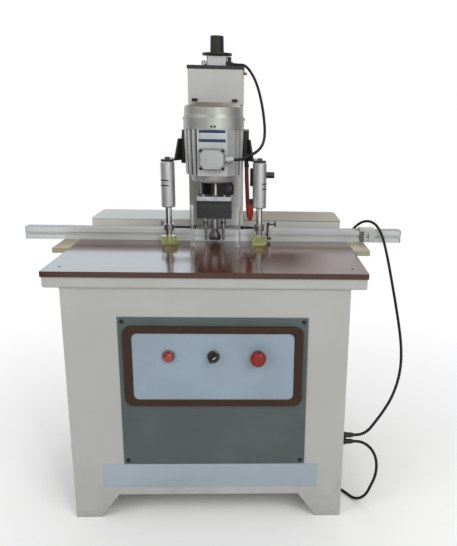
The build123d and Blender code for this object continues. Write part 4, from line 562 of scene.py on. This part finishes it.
tableRim = {
    "nodes": ["table_frame"],
    "colour": (170, 171, 168), "shade": (164, 165, 162), "patch": 5, "grain": 380, "rough": (0.36, 0.48),
    "bump": 0.12, "edge": (196, 196, 194), "edgeWidth": 0.002,
    "sockets": {"Specular IOR Level": 0.35},
}
dress("rimPaint", tableRim)

rearDeck = {
    "nodes": ["rear_deck"],
    "colour": (202, 203, 200), "shade": (195, 195, 190), "patch": 3, "grain": 380, "rough": (0.36, 0.48),
    "bump": 0.12, "edge": (196, 196, 194), "edgeWidth": 0.002,
    # painted shade: the deck's top darker than its front, warm khaki right of the column
    "zones": [((0.06, 0.0, 0.74), (0.5, 0.5, 0.75), (124, 119, 98)),
              ((-0.5, 0.0, 0.74), (0.06, 0.5, 0.75), (164, 165, 161))],
    "sockets": {"Specular IOR Level": 0.35},
}
dress("deckPaint", rearDeck)

columnPaint = {
    "nodes": ["column", "column_cover"],
    "colour": (184, 184, 181), "shade": (179, 179, 175), "patch": 7, "grain": 420, "rough": (0.36, 0.48),
    "bump": 0.12, "edge": (200, 200, 198), "edgeWidth": 0.0015,
    "sockets": {"Specular IOR Level": 0.35},
}
dress("columnPaint", columnPaint)

wings = {
    "nodes": ["fence_wings"],
    "colour": (158, 152, 126), "shade": (146, 140, 116), "patch": 12, "grain": 300, "rough": (0.4, 0.55),
    "bump": 0.15,
}
dress("wingKhaki", wings)

slidePlate = {
    "nodes": ["slide_plate"],
    "colour": (202, 204, 199), "shade": (190, 192, 186), "patch": 9, "grain": 260, "rough": (0.34, 0.5),
    # painted shadow of the motor across the top, painted shade to the left, painted light at the right edge
    "fades": [("Z", 0.8, 0.87, (150, 152, 143)), ("X", 0.02, -0.06, (152, 154, 143)),
              ("X", 0.05, 0.076, (246, 248, 246))],
    "stretch": (1, 1, 0.12), "bump": 0.12, "edge": (186, 186, 178), "edgeWidth": 0.001,
    "sockets": {"Metallic": 0.3},
}
dress("slideSteel", slidePlate)

frontPanel = {
    "nodes": ["front_panel"],
    "colour": (82, 90, 90), "shade": (76, 84, 84), "patch": 8, "grain": 520, "rough": (0.5, 0.62),
    "bump": 0.2, "depth": 0.0003, "edge": (130, 136, 130), "edgeWidth": 0.0012, "edgeShare": 0.6,
    "sockets": {"Specular IOR Level": 0.2},
}
dress("panelSlate", frontPanel)

bezel = {
    "nodes": ["control_bezel"],
    "colour": (55, 34, 19), "shade": (47, 29, 16), "patch": 14, "grain": 600, "rough": (0.45, 0.58),
    "bump": 0.18, "edge": (92, 76, 64), "edgeWidth": 0.0012,
    "sockets": {"Specular IOR Level": 0.25},
}
dress("bezelBrown", bezel)

controlPlate = {
    "nodes": ["control_plate"],
    "colour": (138, 154, 167), "shade": (132, 147, 159), "patch": 9, "grain": 480, "rough": (0.4, 0.5),
    "bump": 0.08, "sockets": {"Specular IOR Level": 0.3},
}
dress("plateBlue", controlPlate)

nameStrip = {
    "low": (-0.28, 0.093), "high": (0.291, 0.1625), "thick": 0.0006, "corner": 0.002, "softEdge": 0.0002,
    "colour": (152, 163, 173), "shade": (146, 157, 166), "patch": 6, "grain": 300, "rough": (0.34, 0.42),
    "bump": 0.06, "sockets": {"Specular IOR Level": 0.3},
}
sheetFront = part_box("cabinet_front")[0].y
stripLow, stripHigh = nameStrip["low"], nameStrip["high"]
stripShape = makePlate((stripLow[0], sheetFront - nameStrip["thick"], stripLow[1]),
                       (stripHigh[0], sheetFront, stripHigh[1]), nameStrip["corner"], nameStrip["softEdge"])
makePiece("nameStrip", stripShape, makeFinish("stripBlue", nameStrip), "base")
print("stand painted")


# table board: glossy brown laminate with a faint grain along the table

tableBoard = {
    "colour": (90, 54, 40), "dark": (70, 42, 31), "edgeTone": (64, 34, 24), "tops": (0.5, 0.9),
    "streak": (0.6, 9.0, 9.0), "grainScale": 14, "grainDetail": 8.0, "grainRough": 0.65,
    "poreScale": 126, "poreDetail": 3.0, "tones": (0.3, 0.7), "rough": (0.12, 0.17),
    "bump": 0.05, "depth": 0.0001, "edgeWidth": 0.0015, "gloss": 1.5,
}


def makeLaminate(look):
    laminate, tree, shader, where = startFinish("boardLaminate")
    drawn = addNode(tree, "ShaderNodeMapping", {"Scale": look["streak"]}, Vector=where).outputs["Vector"]
    streaks = addNoise(tree, drawn, look["grainScale"], look["grainDetail"], look["grainRough"])
    pores = addNoise(tree, drawn, look["poreScale"], look["poreDetail"])
    streaked = addRange(tree, streaks, *look["tones"])
    colour = addMix(tree, streaked, tone(*look["dark"]), tone(*look["colour"]))
    colour = addMix(tree, addUpward(tree, *look["tops"]), tone(*look["edgeTone"]), colour)
    addRelief(tree, shader, pores, look)
    feed(tree, shader.inputs["Base Color"], colour)
    feed(tree, shader.inputs["Roughness"], addRange(tree, pores, *look["tones"], *look["rough"]))
    feed(tree, shader.inputs["IOR"], look["gloss"])
    return laminate


coat(makeLaminate(tableBoard), ["table_top"])
print("table board veneered")


# bare and plated metal

fence = {
    "nodes": ["fence_beam"],
    "colour": (182, 185, 185), "shade": (168, 171, 171), "patch": 30, "grain": 120, "rough": (0.34, 0.48),
    # painted shade: darker tops
    "stretch": (0.04, 1, 1), "bump": 0.06, "upward": (128, 130, 129),
    "fades": [                               # painted light: brightest about its middle, lifting the shade of the head and guard
        ("X", -0.3, -0.1, (228, 232, 233)), ("X", 0.085, 0.2, (182, 185, 185)),
        ("X", -0.1, -0.45, (212, 214, 212)),
    ],
    "sockets": {"Metallic": 0.5},
}
dress("fenceAluminium", fence)

cylinders = {
    "nodes": ["clamp_cylinders", "feed_cylinder"],
    "colour": (187, 188, 187), "shade": (181, 182, 181), "patch": 20, "grain": 500, "rough": (0.3, 0.36),
    "stretch": (1, 1, 0.2), "bump": 0.02, "depth": 0.0001, "sockets": {"Metallic": 0.6},
}
dress("cylinderAluminium", cylinders)

motor = {
    "nodes": ["motor_frame"],
    "colour": (184, 186, 185), "shade": (174, 176, 175), "patch": 18, "grain": 340, "rough": (0.34, 0.48),
    "bump": 0.2, "depth": 0.0003, "edge": (206, 208, 207), "edgeWidth": 0.001,
    # painted shade between the fins, darkest at their roots
    "paintedGapShade": (0.0, 0.05015, 0.0715, 0.0795, (52, 54, 54)), "sockets": {"Metallic": 0.3},
}
dress("motorSilver", motor)

shield = {
    "nodes": ["motor_shield"],
    "colour": (176, 178, 177), "shade": (164, 166, 165), "patch": 18, "grain": 340, "rough": (0.34, 0.48),
    "bump": 0.2, "depth": 0.0003, "edge": (202, 204, 203), "edgeWidth": 0.001, "sockets": {"Metallic": 0.45},
}
dress("shieldSilver", shield)

lidLow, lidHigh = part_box("terminal_box")
terminalBox = {
    "nodes": ["terminal_box"], "lid": 0.005, "wide": 0.072, "past": 0.01,
    "colour": (170, 172, 171), "shade": (160, 162, 161), "patch": 18, "grain": 340, "rough": (0.36, 0.5),
    "bump": 0.2, "depth": 0.0003, "edge": (200, 202, 201), "edgeWidth": 0.001, "sockets": {"Metallic": 0.4},
}
boxPast = terminalBox["past"]
terminalBox["zones"] = [                     # painted shade: darker behind the lid
    ((lidLow.x - boxPast, lidLow.y + terminalBox["lid"], lidLow.z - boxPast),
     (lidLow.x + terminalBox["wide"], lidHigh.y + boxPast, lidHigh.z + boxPast), (126, 128, 127)),
]
dress("boxSilver", terminalBox)

cowl = {
    "nodes": ["fan_cowl"],
    "colour": (172, 174, 170), "shade": (162, 164, 159), "patch": 12, "grain": 420, "rough": (0.36, 0.46),
    # painted reflection: warm khaki tops
    "bump": 0.08, "edge": (196, 197, 194), "edgeWidth": 0.0012, "upward": (84, 79, 58),
    "sockets": {"Metallic": 0.6},
}
dress("cowlSilver", cowl)

chrome = {
    "nodes": ["clamp_rods", "feed_rod"],
    "colour": (202, 204, 206), "shade": (190, 192, 194), "patch": 60, "grain": 700, "rough": (0.08, 0.16),
    "stretch": (1, 1, 0.1), "bump": 0.03, "depth": 0.0001, "sockets": {"Metallic": 1.0},
}
dress("rodChrome", chrome)

turned = {
    "nodes": ["gearbox_cover", "bearings", "guide_rails", "guide_carriages"],
    "colour": (186, 188, 189), "shade": (166, 168, 170), "patch": 50, "grain": 600, "rough": (0.22, 0.36),
    "stretch": (1, 1, 3), "bump": 0.06, "sockets": {"Metallic": 0.95},
}
dress("steelTurned", turned)

spindles = {
    "nodes": ["centre_spindle", "left_spindle", "right_spindle"],
    "colour": (172, 173, 173), "shade": (150, 151, 151), "patch": 50, "grain": 600, "rough": (0.1, 0.2),
    "stretch": (1, 1, 3), "bump": 0.04, "sockets": {"Metallic": 1.0},
    "zones": [((-0.05, 0.0, 0.753), (-0.02, 0.1, 0.758), (24, 24, 23)),        # painted shade: dark bands for the grooves of the side collets
              ((0.02, 0.0, 0.753), (0.05, 0.1, 0.758), (24, 24, 23))],
}
dress("spindleSteel", spindles)

sideBits = {
    "nodes": ["left_bit", "right_bit"],
    "colour": (150, 150, 148), "shade": (128, 128, 126), "patch": 60, "grain": 500, "rough": (0.2, 0.34),
    "bump": 0.08, "sockets": {"Metallic": 0.9},
}
dress("bitSteel", sideBits)

toolSteel = {
    "nodes": ["cup_bit", "rotor"],
    "colour": (84, 82, 82), "shade": (62, 59, 58), "patch": 60, "grain": 500, "rough": (0.26, 0.42),
    "bump": 0.08, "sockets": {"Metallic": 0.9},
}
dress("toolSteel", toolSteel)

plated = {
    "nodes": ["clamp_nuts"],
    "colour": (92, 93, 92), "shade": (70, 71, 70), "patch": 45, "grain": 500, "rough": (0.3, 0.46),
    "bump": 0.1, "edge": (150, 150, 148), "edgeWidth": 0.0006, "sockets": {"Metallic": 0.8},
}
dress("platedDark", plated)

crossRods = {
    "nodes": ["guard_arms"],
    "colour": (40, 40, 39), "shade": (32, 32, 31), "patch": 45, "grain": 500, "rough": (0.14, 0.24),
    "bump": 0.05, "edge": (150, 150, 148), "edgeWidth": 0.0006, "sockets": {"Metallic": 0.9},
    "zones": [((-0.15, 0.0, 0.6), (-0.115, 0.06, 0.9), (150, 152, 152)),
              ((0.115, 0.0, 0.6), (0.15, 0.06, 0.9), (150, 152, 152))],
}
dress("crossSteel", crossRods)

rightStop = {
    "nodes": ["right_stop"],
    "colour": (62, 63, 58), "shade": (50, 51, 47), "patch": 40, "grain": 420, "rough": (0.26, 0.4),
    "bump": 0.08, "edge": (120, 121, 116), "edgeWidth": 0.0006, "sockets": {"Metallic": 0.6},
    "zones": [((0.159, -0.2, 0.707), (0.168, 0.2, 0.738), (182, 184, 182)),    # bright face
              ((0.14, -0.2, 0.729), (0.152, 0.2, 0.734), (170, 172, 166))],
}
dress("stopSteel", rightStop)

leftStop = {
    "nodes": ["left_stop"],
    "colour": (128, 130, 127), "shade": (112, 114, 111), "patch": 40, "grain": 420, "rough": (0.26, 0.4),
    "bump": 0.08, "edge": (84, 85, 82), "sockets": {"Metallic": 0.6},
}
dress("stopGrey", leftStop)

rings = {
    "nodes": ["device_bezels", "button_collar"],
    "colour": (120, 112, 104), "shade": (98, 91, 84), "patch": 60, "grain": 700, "rough": (0.2, 0.32),
    "bump": 0.03, "depth": 0.0001, "sockets": {"Metallic": 0.9},
}
dress("ringSilver", rings)

fittings = {
    "nodes": ["air_fittings"],
    "colour": (70, 68, 64), "shade": (54, 52, 49), "patch": 50, "grain": 500, "rough": (0.3, 0.45),
    "bump": 0.08, "edge": (120, 114, 100), "edgeWidth": 0.0006, "sockets": {"Metallic": 0.7},
    "zones": [
        ((-0.06, 0.0, 1.19), (-0.03, 0.4, 1.25), (200, 202, 200)),     # silver elbow at the feed block
        ((0.075, 0.0, 1.1), (0.2, 0.4, 1.19), (150, 84, 66)),          # copper nipple on the column cover
        ((-0.125, 0.0, 0.935), (0.125, 0.05, 0.96), (186, 194, 196)),  # plugs on the cylinder lugs
        ((0.095, 0.0, 0.855), (0.12, 0.1, 0.92), (36, 36, 35)),        # regulator on the right cylinder
    ],
}
dress("fittingDark", fittings)

bracketLow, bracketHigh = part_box("fence_bracket")
bracket = {
    "nodes": ["fence_bracket"],
    "colour": (172, 174, 171), "shade": (160, 162, 159), "patch": 25, "grain": 420, "rough": (0.35, 0.5),
    "bump": 0.1, "edge": (96, 97, 93), "edgeWidth": 0.001, "darkWide": 0.013, "capTall": 0.006,
}
darkHigh = (bracketLow.x + bracket["darkWide"], bracketHigh.y, bracketHigh.z - bracket["capTall"])
bracket["zones"] = [(bracketLow, darkHigh, (84, 86, 80))]            # painted shade: dark left side under the cap
dress("bracketGrey", bracket)
print("metal finished")


# black castings, black plastic

blackPaint = {
    "nodes": ["clamp_arms", "top_plate"],
    "colour": (46, 46, 42), "shade": (39, 39, 36), "patch": 20, "grain": 360, "rough": (0.42, 0.58),
    "bump": 0.25, "depth": 0.0004, "edge": (86, 87, 82), "edgeWidth": 0.0012, "edgeShare": 0.6,
    "sockets": {"Specular IOR Level": 0.3},
}
dress("blackPaint", blackPaint)

casting = {
    "nodes": ["gearbox_case"],
    "colour": (32, 33, 31), "shade": (27, 28, 26), "patch": 26, "grain": 420, "rough": (0.36, 0.5),
    "bump": 0.2, "depth": 0.0003, "edge": (98, 100, 98), "edgeShare": 0.6,
    "sockets": {"Specular IOR Level": 0.35},
}
dress("blackCasting", casting)

collar = {
    "nodes": ["collar_clamp"],
    "colour": (26, 26, 25), "shade": (21, 21, 20), "patch": 30, "grain": 500, "rough": (0.08, 0.14),
    "stretch": (1, 1, 4), "bump": 0.03, "edge": (110, 110, 107),
    "edgeShare": 0.6, "sockets": {"Specular IOR Level": 0.2},
    "zones": [((0.0035, -0.1, 0.8), (0.0085, 0.02, 0.9), (206, 206, 203))],    # painted highlight: a bright vertical strip standing in for the collar's highlight
}
dress("collarBlack", collar)

blackPlastic = {
    "nodes": ["depth_knob", "selector_knob", "cable_glands", "mains_plug"],
    "colour": (44, 44, 40), "shade": (37, 37, 34), "patch": 40, "grain": 640, "rough": (0.45, 0.6),
    "bump": 0.15, "edge": (76, 77, 74),
    "sockets": {"Specular IOR Level": 0.25},
}
dress("blackPlastic", blackPlastic)

panelScrews = {
    "nodes": ["panel_screws"],
    "colour": (34, 35, 34), "shade": (26, 27, 26), "patch": 60, "grain": 700, "rough": (0.3, 0.44),
    "bump": 0.1, "depth": 0.0001, "edge": (78, 80, 80), "edgeWidth": 0.0005, "sockets": {"Metallic": 0.5},
}
screwFinish = dress("screwBlack", panelScrews)

controlGear = {
    "nodes": ["control_gear"],
    "colour": (172, 172, 166), "shade": (156, 156, 150), "patch": 12, "grain": 420, "rough": (0.45, 0.6),
    "bump": 0.1, "edge": (196, 196, 190), "edgeWidth": 0.001,
}
dress("controlGrey", controlGear)

mushroom = {
    "nodes": ["button_head"],
    "colour": (130, 27, 21), "shade": (119, 23, 18), "patch": 50, "grain": 600, "rough": (0.3, 0.4),
    "bump": 0.06, "depth": 0.0001, "sockets": {"Specular IOR Level": 0.35},
}
dress("mushroomRed", mushroom)

lampLens = {
    "nodes": ["lamp_lens"],
    "colour": (176, 34, 26), "shade": (152, 26, 20), "patch": 80, "grain": 900, "rough": (0.14, 0.24),
    "bump": 0.1,
    "sockets": {"Coat Weight": 0.6, "Coat Roughness": 0.08, "Transmission Weight": 0.25, "IOR": 1.49},
}
dress("lensRed", lampLens)

clampFeet = {
    "nodes": ["clamp_feet"],
    "colour": (226, 231, 172), "shade": (217, 223, 158), "patch": 40, "grain": 300, "rough": (0.06, 0.14),
    "bump": 0.08,
    "sockets": {"Transmission Weight": 0.75, "IOR": 1.46, "Coat Weight": 0.3},
}
dress("footUrethane", clampFeet)

guard = {
    "nodes": ["guard"],
    "colour": (255, 255, 255), "shade": (252, 254, 254), "patch": 20, "grain": 200, "rough": (0.0, 0.03),
    "bump": 0.01, "depth": 0.0001, "edgeWidth": 0.0004,
    "bendIn": 0.009, "bendFade": 0.003, "bendShow": 0.94,
    "sockets": {"Transmission Weight": 1.0, "IOR": 1.16, "Specular IOR Level": 0.3, "Sheen Weight": 0.9,
                "Sheen Roughness": 0.15, "Sheen Tint": (0.86, 0.86, 0.95, 1)},
}
guardFinish = dress("guardClear", guard)
guardTree = guardFinish.node_tree            # painted highlight: the two bends and sides are made less clear, so they look paler than the flat front
guardLow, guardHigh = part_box("guard")
guardSpot = addNode(guardTree, "ShaderNodeTexCoord").outputs["Object"]
guardMiddle = (guardLow.x + guardHigh.x) / 2
fromMiddle = addMath(guardTree, "SUBTRACT", addAxis(guardTree, guardSpot, "X"), guardMiddle)
eitherSide = addMath(guardTree, "ABSOLUTE", fromMiddle)
bendStart = (guardHigh.x - guardLow.x) / 2 - guard["bendIn"]
clearShare = addRange(guardTree, eitherSide, bendStart - guard["bendFade"], bendStart, 1, guard["bendShow"])
feed(guardTree, guardTree.nodes["Principled BSDF"].inputs["Transmission Weight"], clearShare)
print("plastics finished")


# bare rating plate on the motor, with its two blue bands

ratingPlate = {
    "low": (-0.037, 0.988), "high": (0.038, 1.021), "thick": 0.0006, "corner": 0.0015, "softEdge": 0.0002,
    "colour": (176, 181, 185), "shade": (168, 173, 177), "patch": 40, "grain": 500, "rough": (0.28, 0.38),
    "bump": 0.05, "depth": 0.0001, "sockets": {"Metallic": 0.5},
}
ratingBands = {
    "tall": 0.0078, "proud": 0.0002, "margin": 0.0005, "inset": 0.001, "corner": 0.001,
    "colour": (18, 31, 82), "shade": (15, 26, 70), "patch": 60, "grain": 500, "rough": (0.3, 0.4),
    "bump": 0.05, "depth": 0.0001,
}
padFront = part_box("terminal_box")[1].y
plateLow, plateHigh = ratingPlate["low"], ratingPlate["high"]
plateFace = padFront - ratingPlate["thick"]
plateShape = makePlate((plateLow[0], plateFace, plateLow[1]), (plateHigh[0], padFront, plateHigh[1]),
                       ratingPlate["corner"], ratingPlate["softEdge"])
makePiece("ratingPlate", plateShape, makeFinish("ratingSilver", ratingPlate), "head")
bandShapes = []
bandLeft, bandRight = plateLow[0] + ratingBands["inset"], plateHigh[0] - ratingBands["inset"]
bandFace = plateFace - ratingBands["proud"]
lowFoot = plateLow[1] + ratingBands["margin"]
highFoot = plateHigh[1] - ratingBands["tall"] - ratingBands["margin"]
for bandFoot in (lowFoot, highFoot):
    bandTop = bandFoot + ratingBands["tall"]
    bandShapes.append(makePlate((bandLeft, bandFace, bandFoot), (bandRight, plateFace, bandTop),
                                ratingBands["corner"], 0))
makePiece("ratingBands", joinShapes(bandShapes), makeFinish("bandBlue", ratingBands), "head")
print("rating plate on")


# screws: lid of the terminal box, gearbox cover, collar and fan cowl

lidScrews = {"radius": 0.0036, "height": 0.003, "inset": 0.0047, "wide": 0.07, "seat": 0.0053}
screwShapes = []
for screwX in (lidLow.x + lidScrews["inset"], lidLow.x + lidScrews["wide"] - lidScrews["inset"]):
    for screwZ in (lidLow.z + lidScrews["inset"], lidHigh.z - lidScrews["inset"]):
        screwSpot = (screwX, lidLow.y + lidScrews["seat"], screwZ)
        screwShapes.append(makeScrew(lidScrews, screwSpot, (0, -1, 0)))
makePiece("lidScrews", joinShapes(screwShapes), screwFinish, "head")

zinc = {
    "colour": (214, 216, 216), "shade": (196, 198, 198), "patch": 60, "grain": 600, "rough": (0.2, 0.3),
    "bump": 0.04, "depth": 0.0001, "sockets": {"Metallic": 0.85},
}
coverBolts = {"radius": 0.005, "height": 0.0035, "apart": (0.03, 0.0265), "cover": 0.014}
boxLow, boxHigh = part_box("gearbox_case")
coverTop = boxHigh.z + coverBolts["cover"]
boxMiddle = (boxLow + boxHigh) / 2
boltShapes = []
apartX, apartY = coverBolts["apart"]
for boltX in (boxMiddle.x - apartX, boxMiddle.x + apartX):
    for boltY in (boxMiddle.y - apartY, boxMiddle.y + apartY):
        boltShapes.append(makeScrew(coverBolts, (boltX, boltY, coverTop), (0, 0, 1)))
makePiece("coverBolts", joinShapes(boltShapes), makeFinish("boltZinc", zinc), "head")

collarBolt = {
    "radius": 0.0108, "height": 0.0016, "inset": 0.015,
    "colour": (58, 58, 56), "shade": (46, 46, 44), "patch": 60, "grain": 600, "rough": (0.18, 0.28),
    # painted highlight: a light rim around the dark head
    "bump": 0.05, "depth": 0.0001, "edge": (150, 150, 146), "edgeWidth": 0.001, "edgeShare": 0.8,
    "sockets": {"Metallic": 0.7},
}
collarLow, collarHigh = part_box("collar_clamp")
collarSpot = (collarHigh.x - collarBolt["inset"], collarLow.y, (collarLow.z + collarHigh.z) / 2)
collarScrew = makeScrew(collarBolt, collarSpot, (0, -1, 0))
makePiece("collarBolt", collarScrew, makeFinish("boltDark", collarBolt), "head")

cowlScrews = {
    "radius": 0.003, "height": 0.0022, "reach": 0.0854,
    "places": [(-90.7, 0.0076), (-84.8, 0.0076), (-2, 0.026), (88, 0.026), (178, 0.026)],    # turn, lift
}
cowlLow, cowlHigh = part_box("fan_cowl")
cowlMiddle = (cowlLow + cowlHigh) / 2
cowlShapes = []
for turn, lift in cowlScrews["places"]:
    outward = Vector((math.cos(math.radians(turn)), math.sin(math.radians(turn)), 0))
    screwSpot = outward * cowlScrews["reach"] + Vector((cowlMiddle.x, cowlMiddle.y, cowlLow.z + lift))
    cowlShapes.append(makeScrew(cowlScrews, screwSpot, outward))
makePiece("cowlScrews", joinShapes(cowlShapes), screwFinish, "head")
print("screws in")


# two black catches on the column cover, and the white mark on the selector

catches = {
    "places": [(-0.061, 1.1), (0.0565, 1.0995)], "half": 0.0035, "apart": 0.0085, "rise": 0.0042,
    "deep": 0.0055, "corner": 0.001, "softEdge": 0.0006,
}
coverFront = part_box("column_cover")[0].y
catchShapes = []
for catchX, catchZ in catches["places"]:
    for shift in (-catches["apart"] / 2, catches["apart"] / 2):
        catchLow = (catchX + shift - catches["half"], coverFront - catches["deep"], catchZ - catches["rise"])
        catchHigh = (catchX + shift + catches["half"], coverFront, catchZ + catches["rise"])
        catchShapes.append(makePlate(catchLow, catchHigh, catches["corner"], catches["softEdge"]))
makePiece("coverCatches", joinShapes(catchShapes), screwFinish, "base")

selectorMark = {
    "length": 0.0085, "width": 0.0018, "thick": 0.0003, "off": 0.0045, "turn": 45, "corner": 0.0006,
    "colour": (226, 226, 220), "shade": (214, 214, 208), "patch": 80, "grain": 700, "rough": (0.4, 0.5),
    "bump": 0.05, "depth": 0.0001,
}
gripLow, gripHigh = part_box("selector_knob")
gripMiddle = Vector(((gripLow.x + gripHigh.x) / 2, gripLow.y, (gripLow.z + gripHigh.z) / 2))
markStart = selectorMark["off"] - selectorMark["length"] / 2
markEnd = selectorMark["off"] + selectorMark["length"] / 2
markHalf = selectorMark["width"] / 2
markShape = makePlate((markStart, -selectorMark["thick"], -markHalf), (markEnd, 0, markHalf),
                      selectorMark["corner"], 0)
markTurn = Matrix.Translation(gripMiddle) @ Matrix.Rotation(-math.radians(selectorMark["turn"]), 4, "Y")
bmesh.ops.transform(markShape, matrix=markTurn, verts=markShape.verts)
makePiece("selectorMark", markShape, makeFinish("markWhite", selectorMark), "selector")
print("catches and mark on")


# two thin printed bands on each clamp cylinder

cylinderBands = {
    "radius": 0.02, "proud": 0.00015, "tall": 0.0032, "gap": 0.0145, "axisBack": 0.338, "steps": 24,
    "places": [(-0.131, 0.8623, 175, 285), (0.131, 0.8553, 291, 375)],       # across, up, from and to angle
}
bandRings = []
reach = cylinderBands["radius"] + cylinderBands["proud"]
axisY = tableFront + cylinderBands["axisBack"]
for axisX, bandZ, fromAngle, toAngle in cylinderBands["places"]:
    for bandFoot in (bandZ, bandZ + cylinderBands["gap"]):
        ringShape = bmesh.new()
        angle = math.radians(fromAngle)
        startX, startY = axisX + reach * math.cos(angle), axisY + reach * math.sin(angle)
        foot = ringShape.verts.new((startX, startY, bandFoot))
        head = ringShape.verts.new((startX, startY, bandFoot + cylinderBands["tall"]))
        strip = ringShape.edges.new((foot, head))
        bmesh.ops.spin(ringShape, geom=[foot, head, strip], cent=(axisX, axisY, 0), axis=(0, 0, 1),
                       angle=math.radians(toAngle - fromAngle), steps=cylinderBands["steps"],
                       use_merge=False)
        bmesh.ops.recalc_face_normals(ringShape, faces=ringShape.faces)
        bmesh.ops.solidify(ringShape, geom=list(ringShape.faces), thickness=cylinderBands["proud"])
        bandRings.append(ringShape)
makePiece("cylinderBands", joinShapes(bandRings), screwFinish, "base")
print("bands printed")
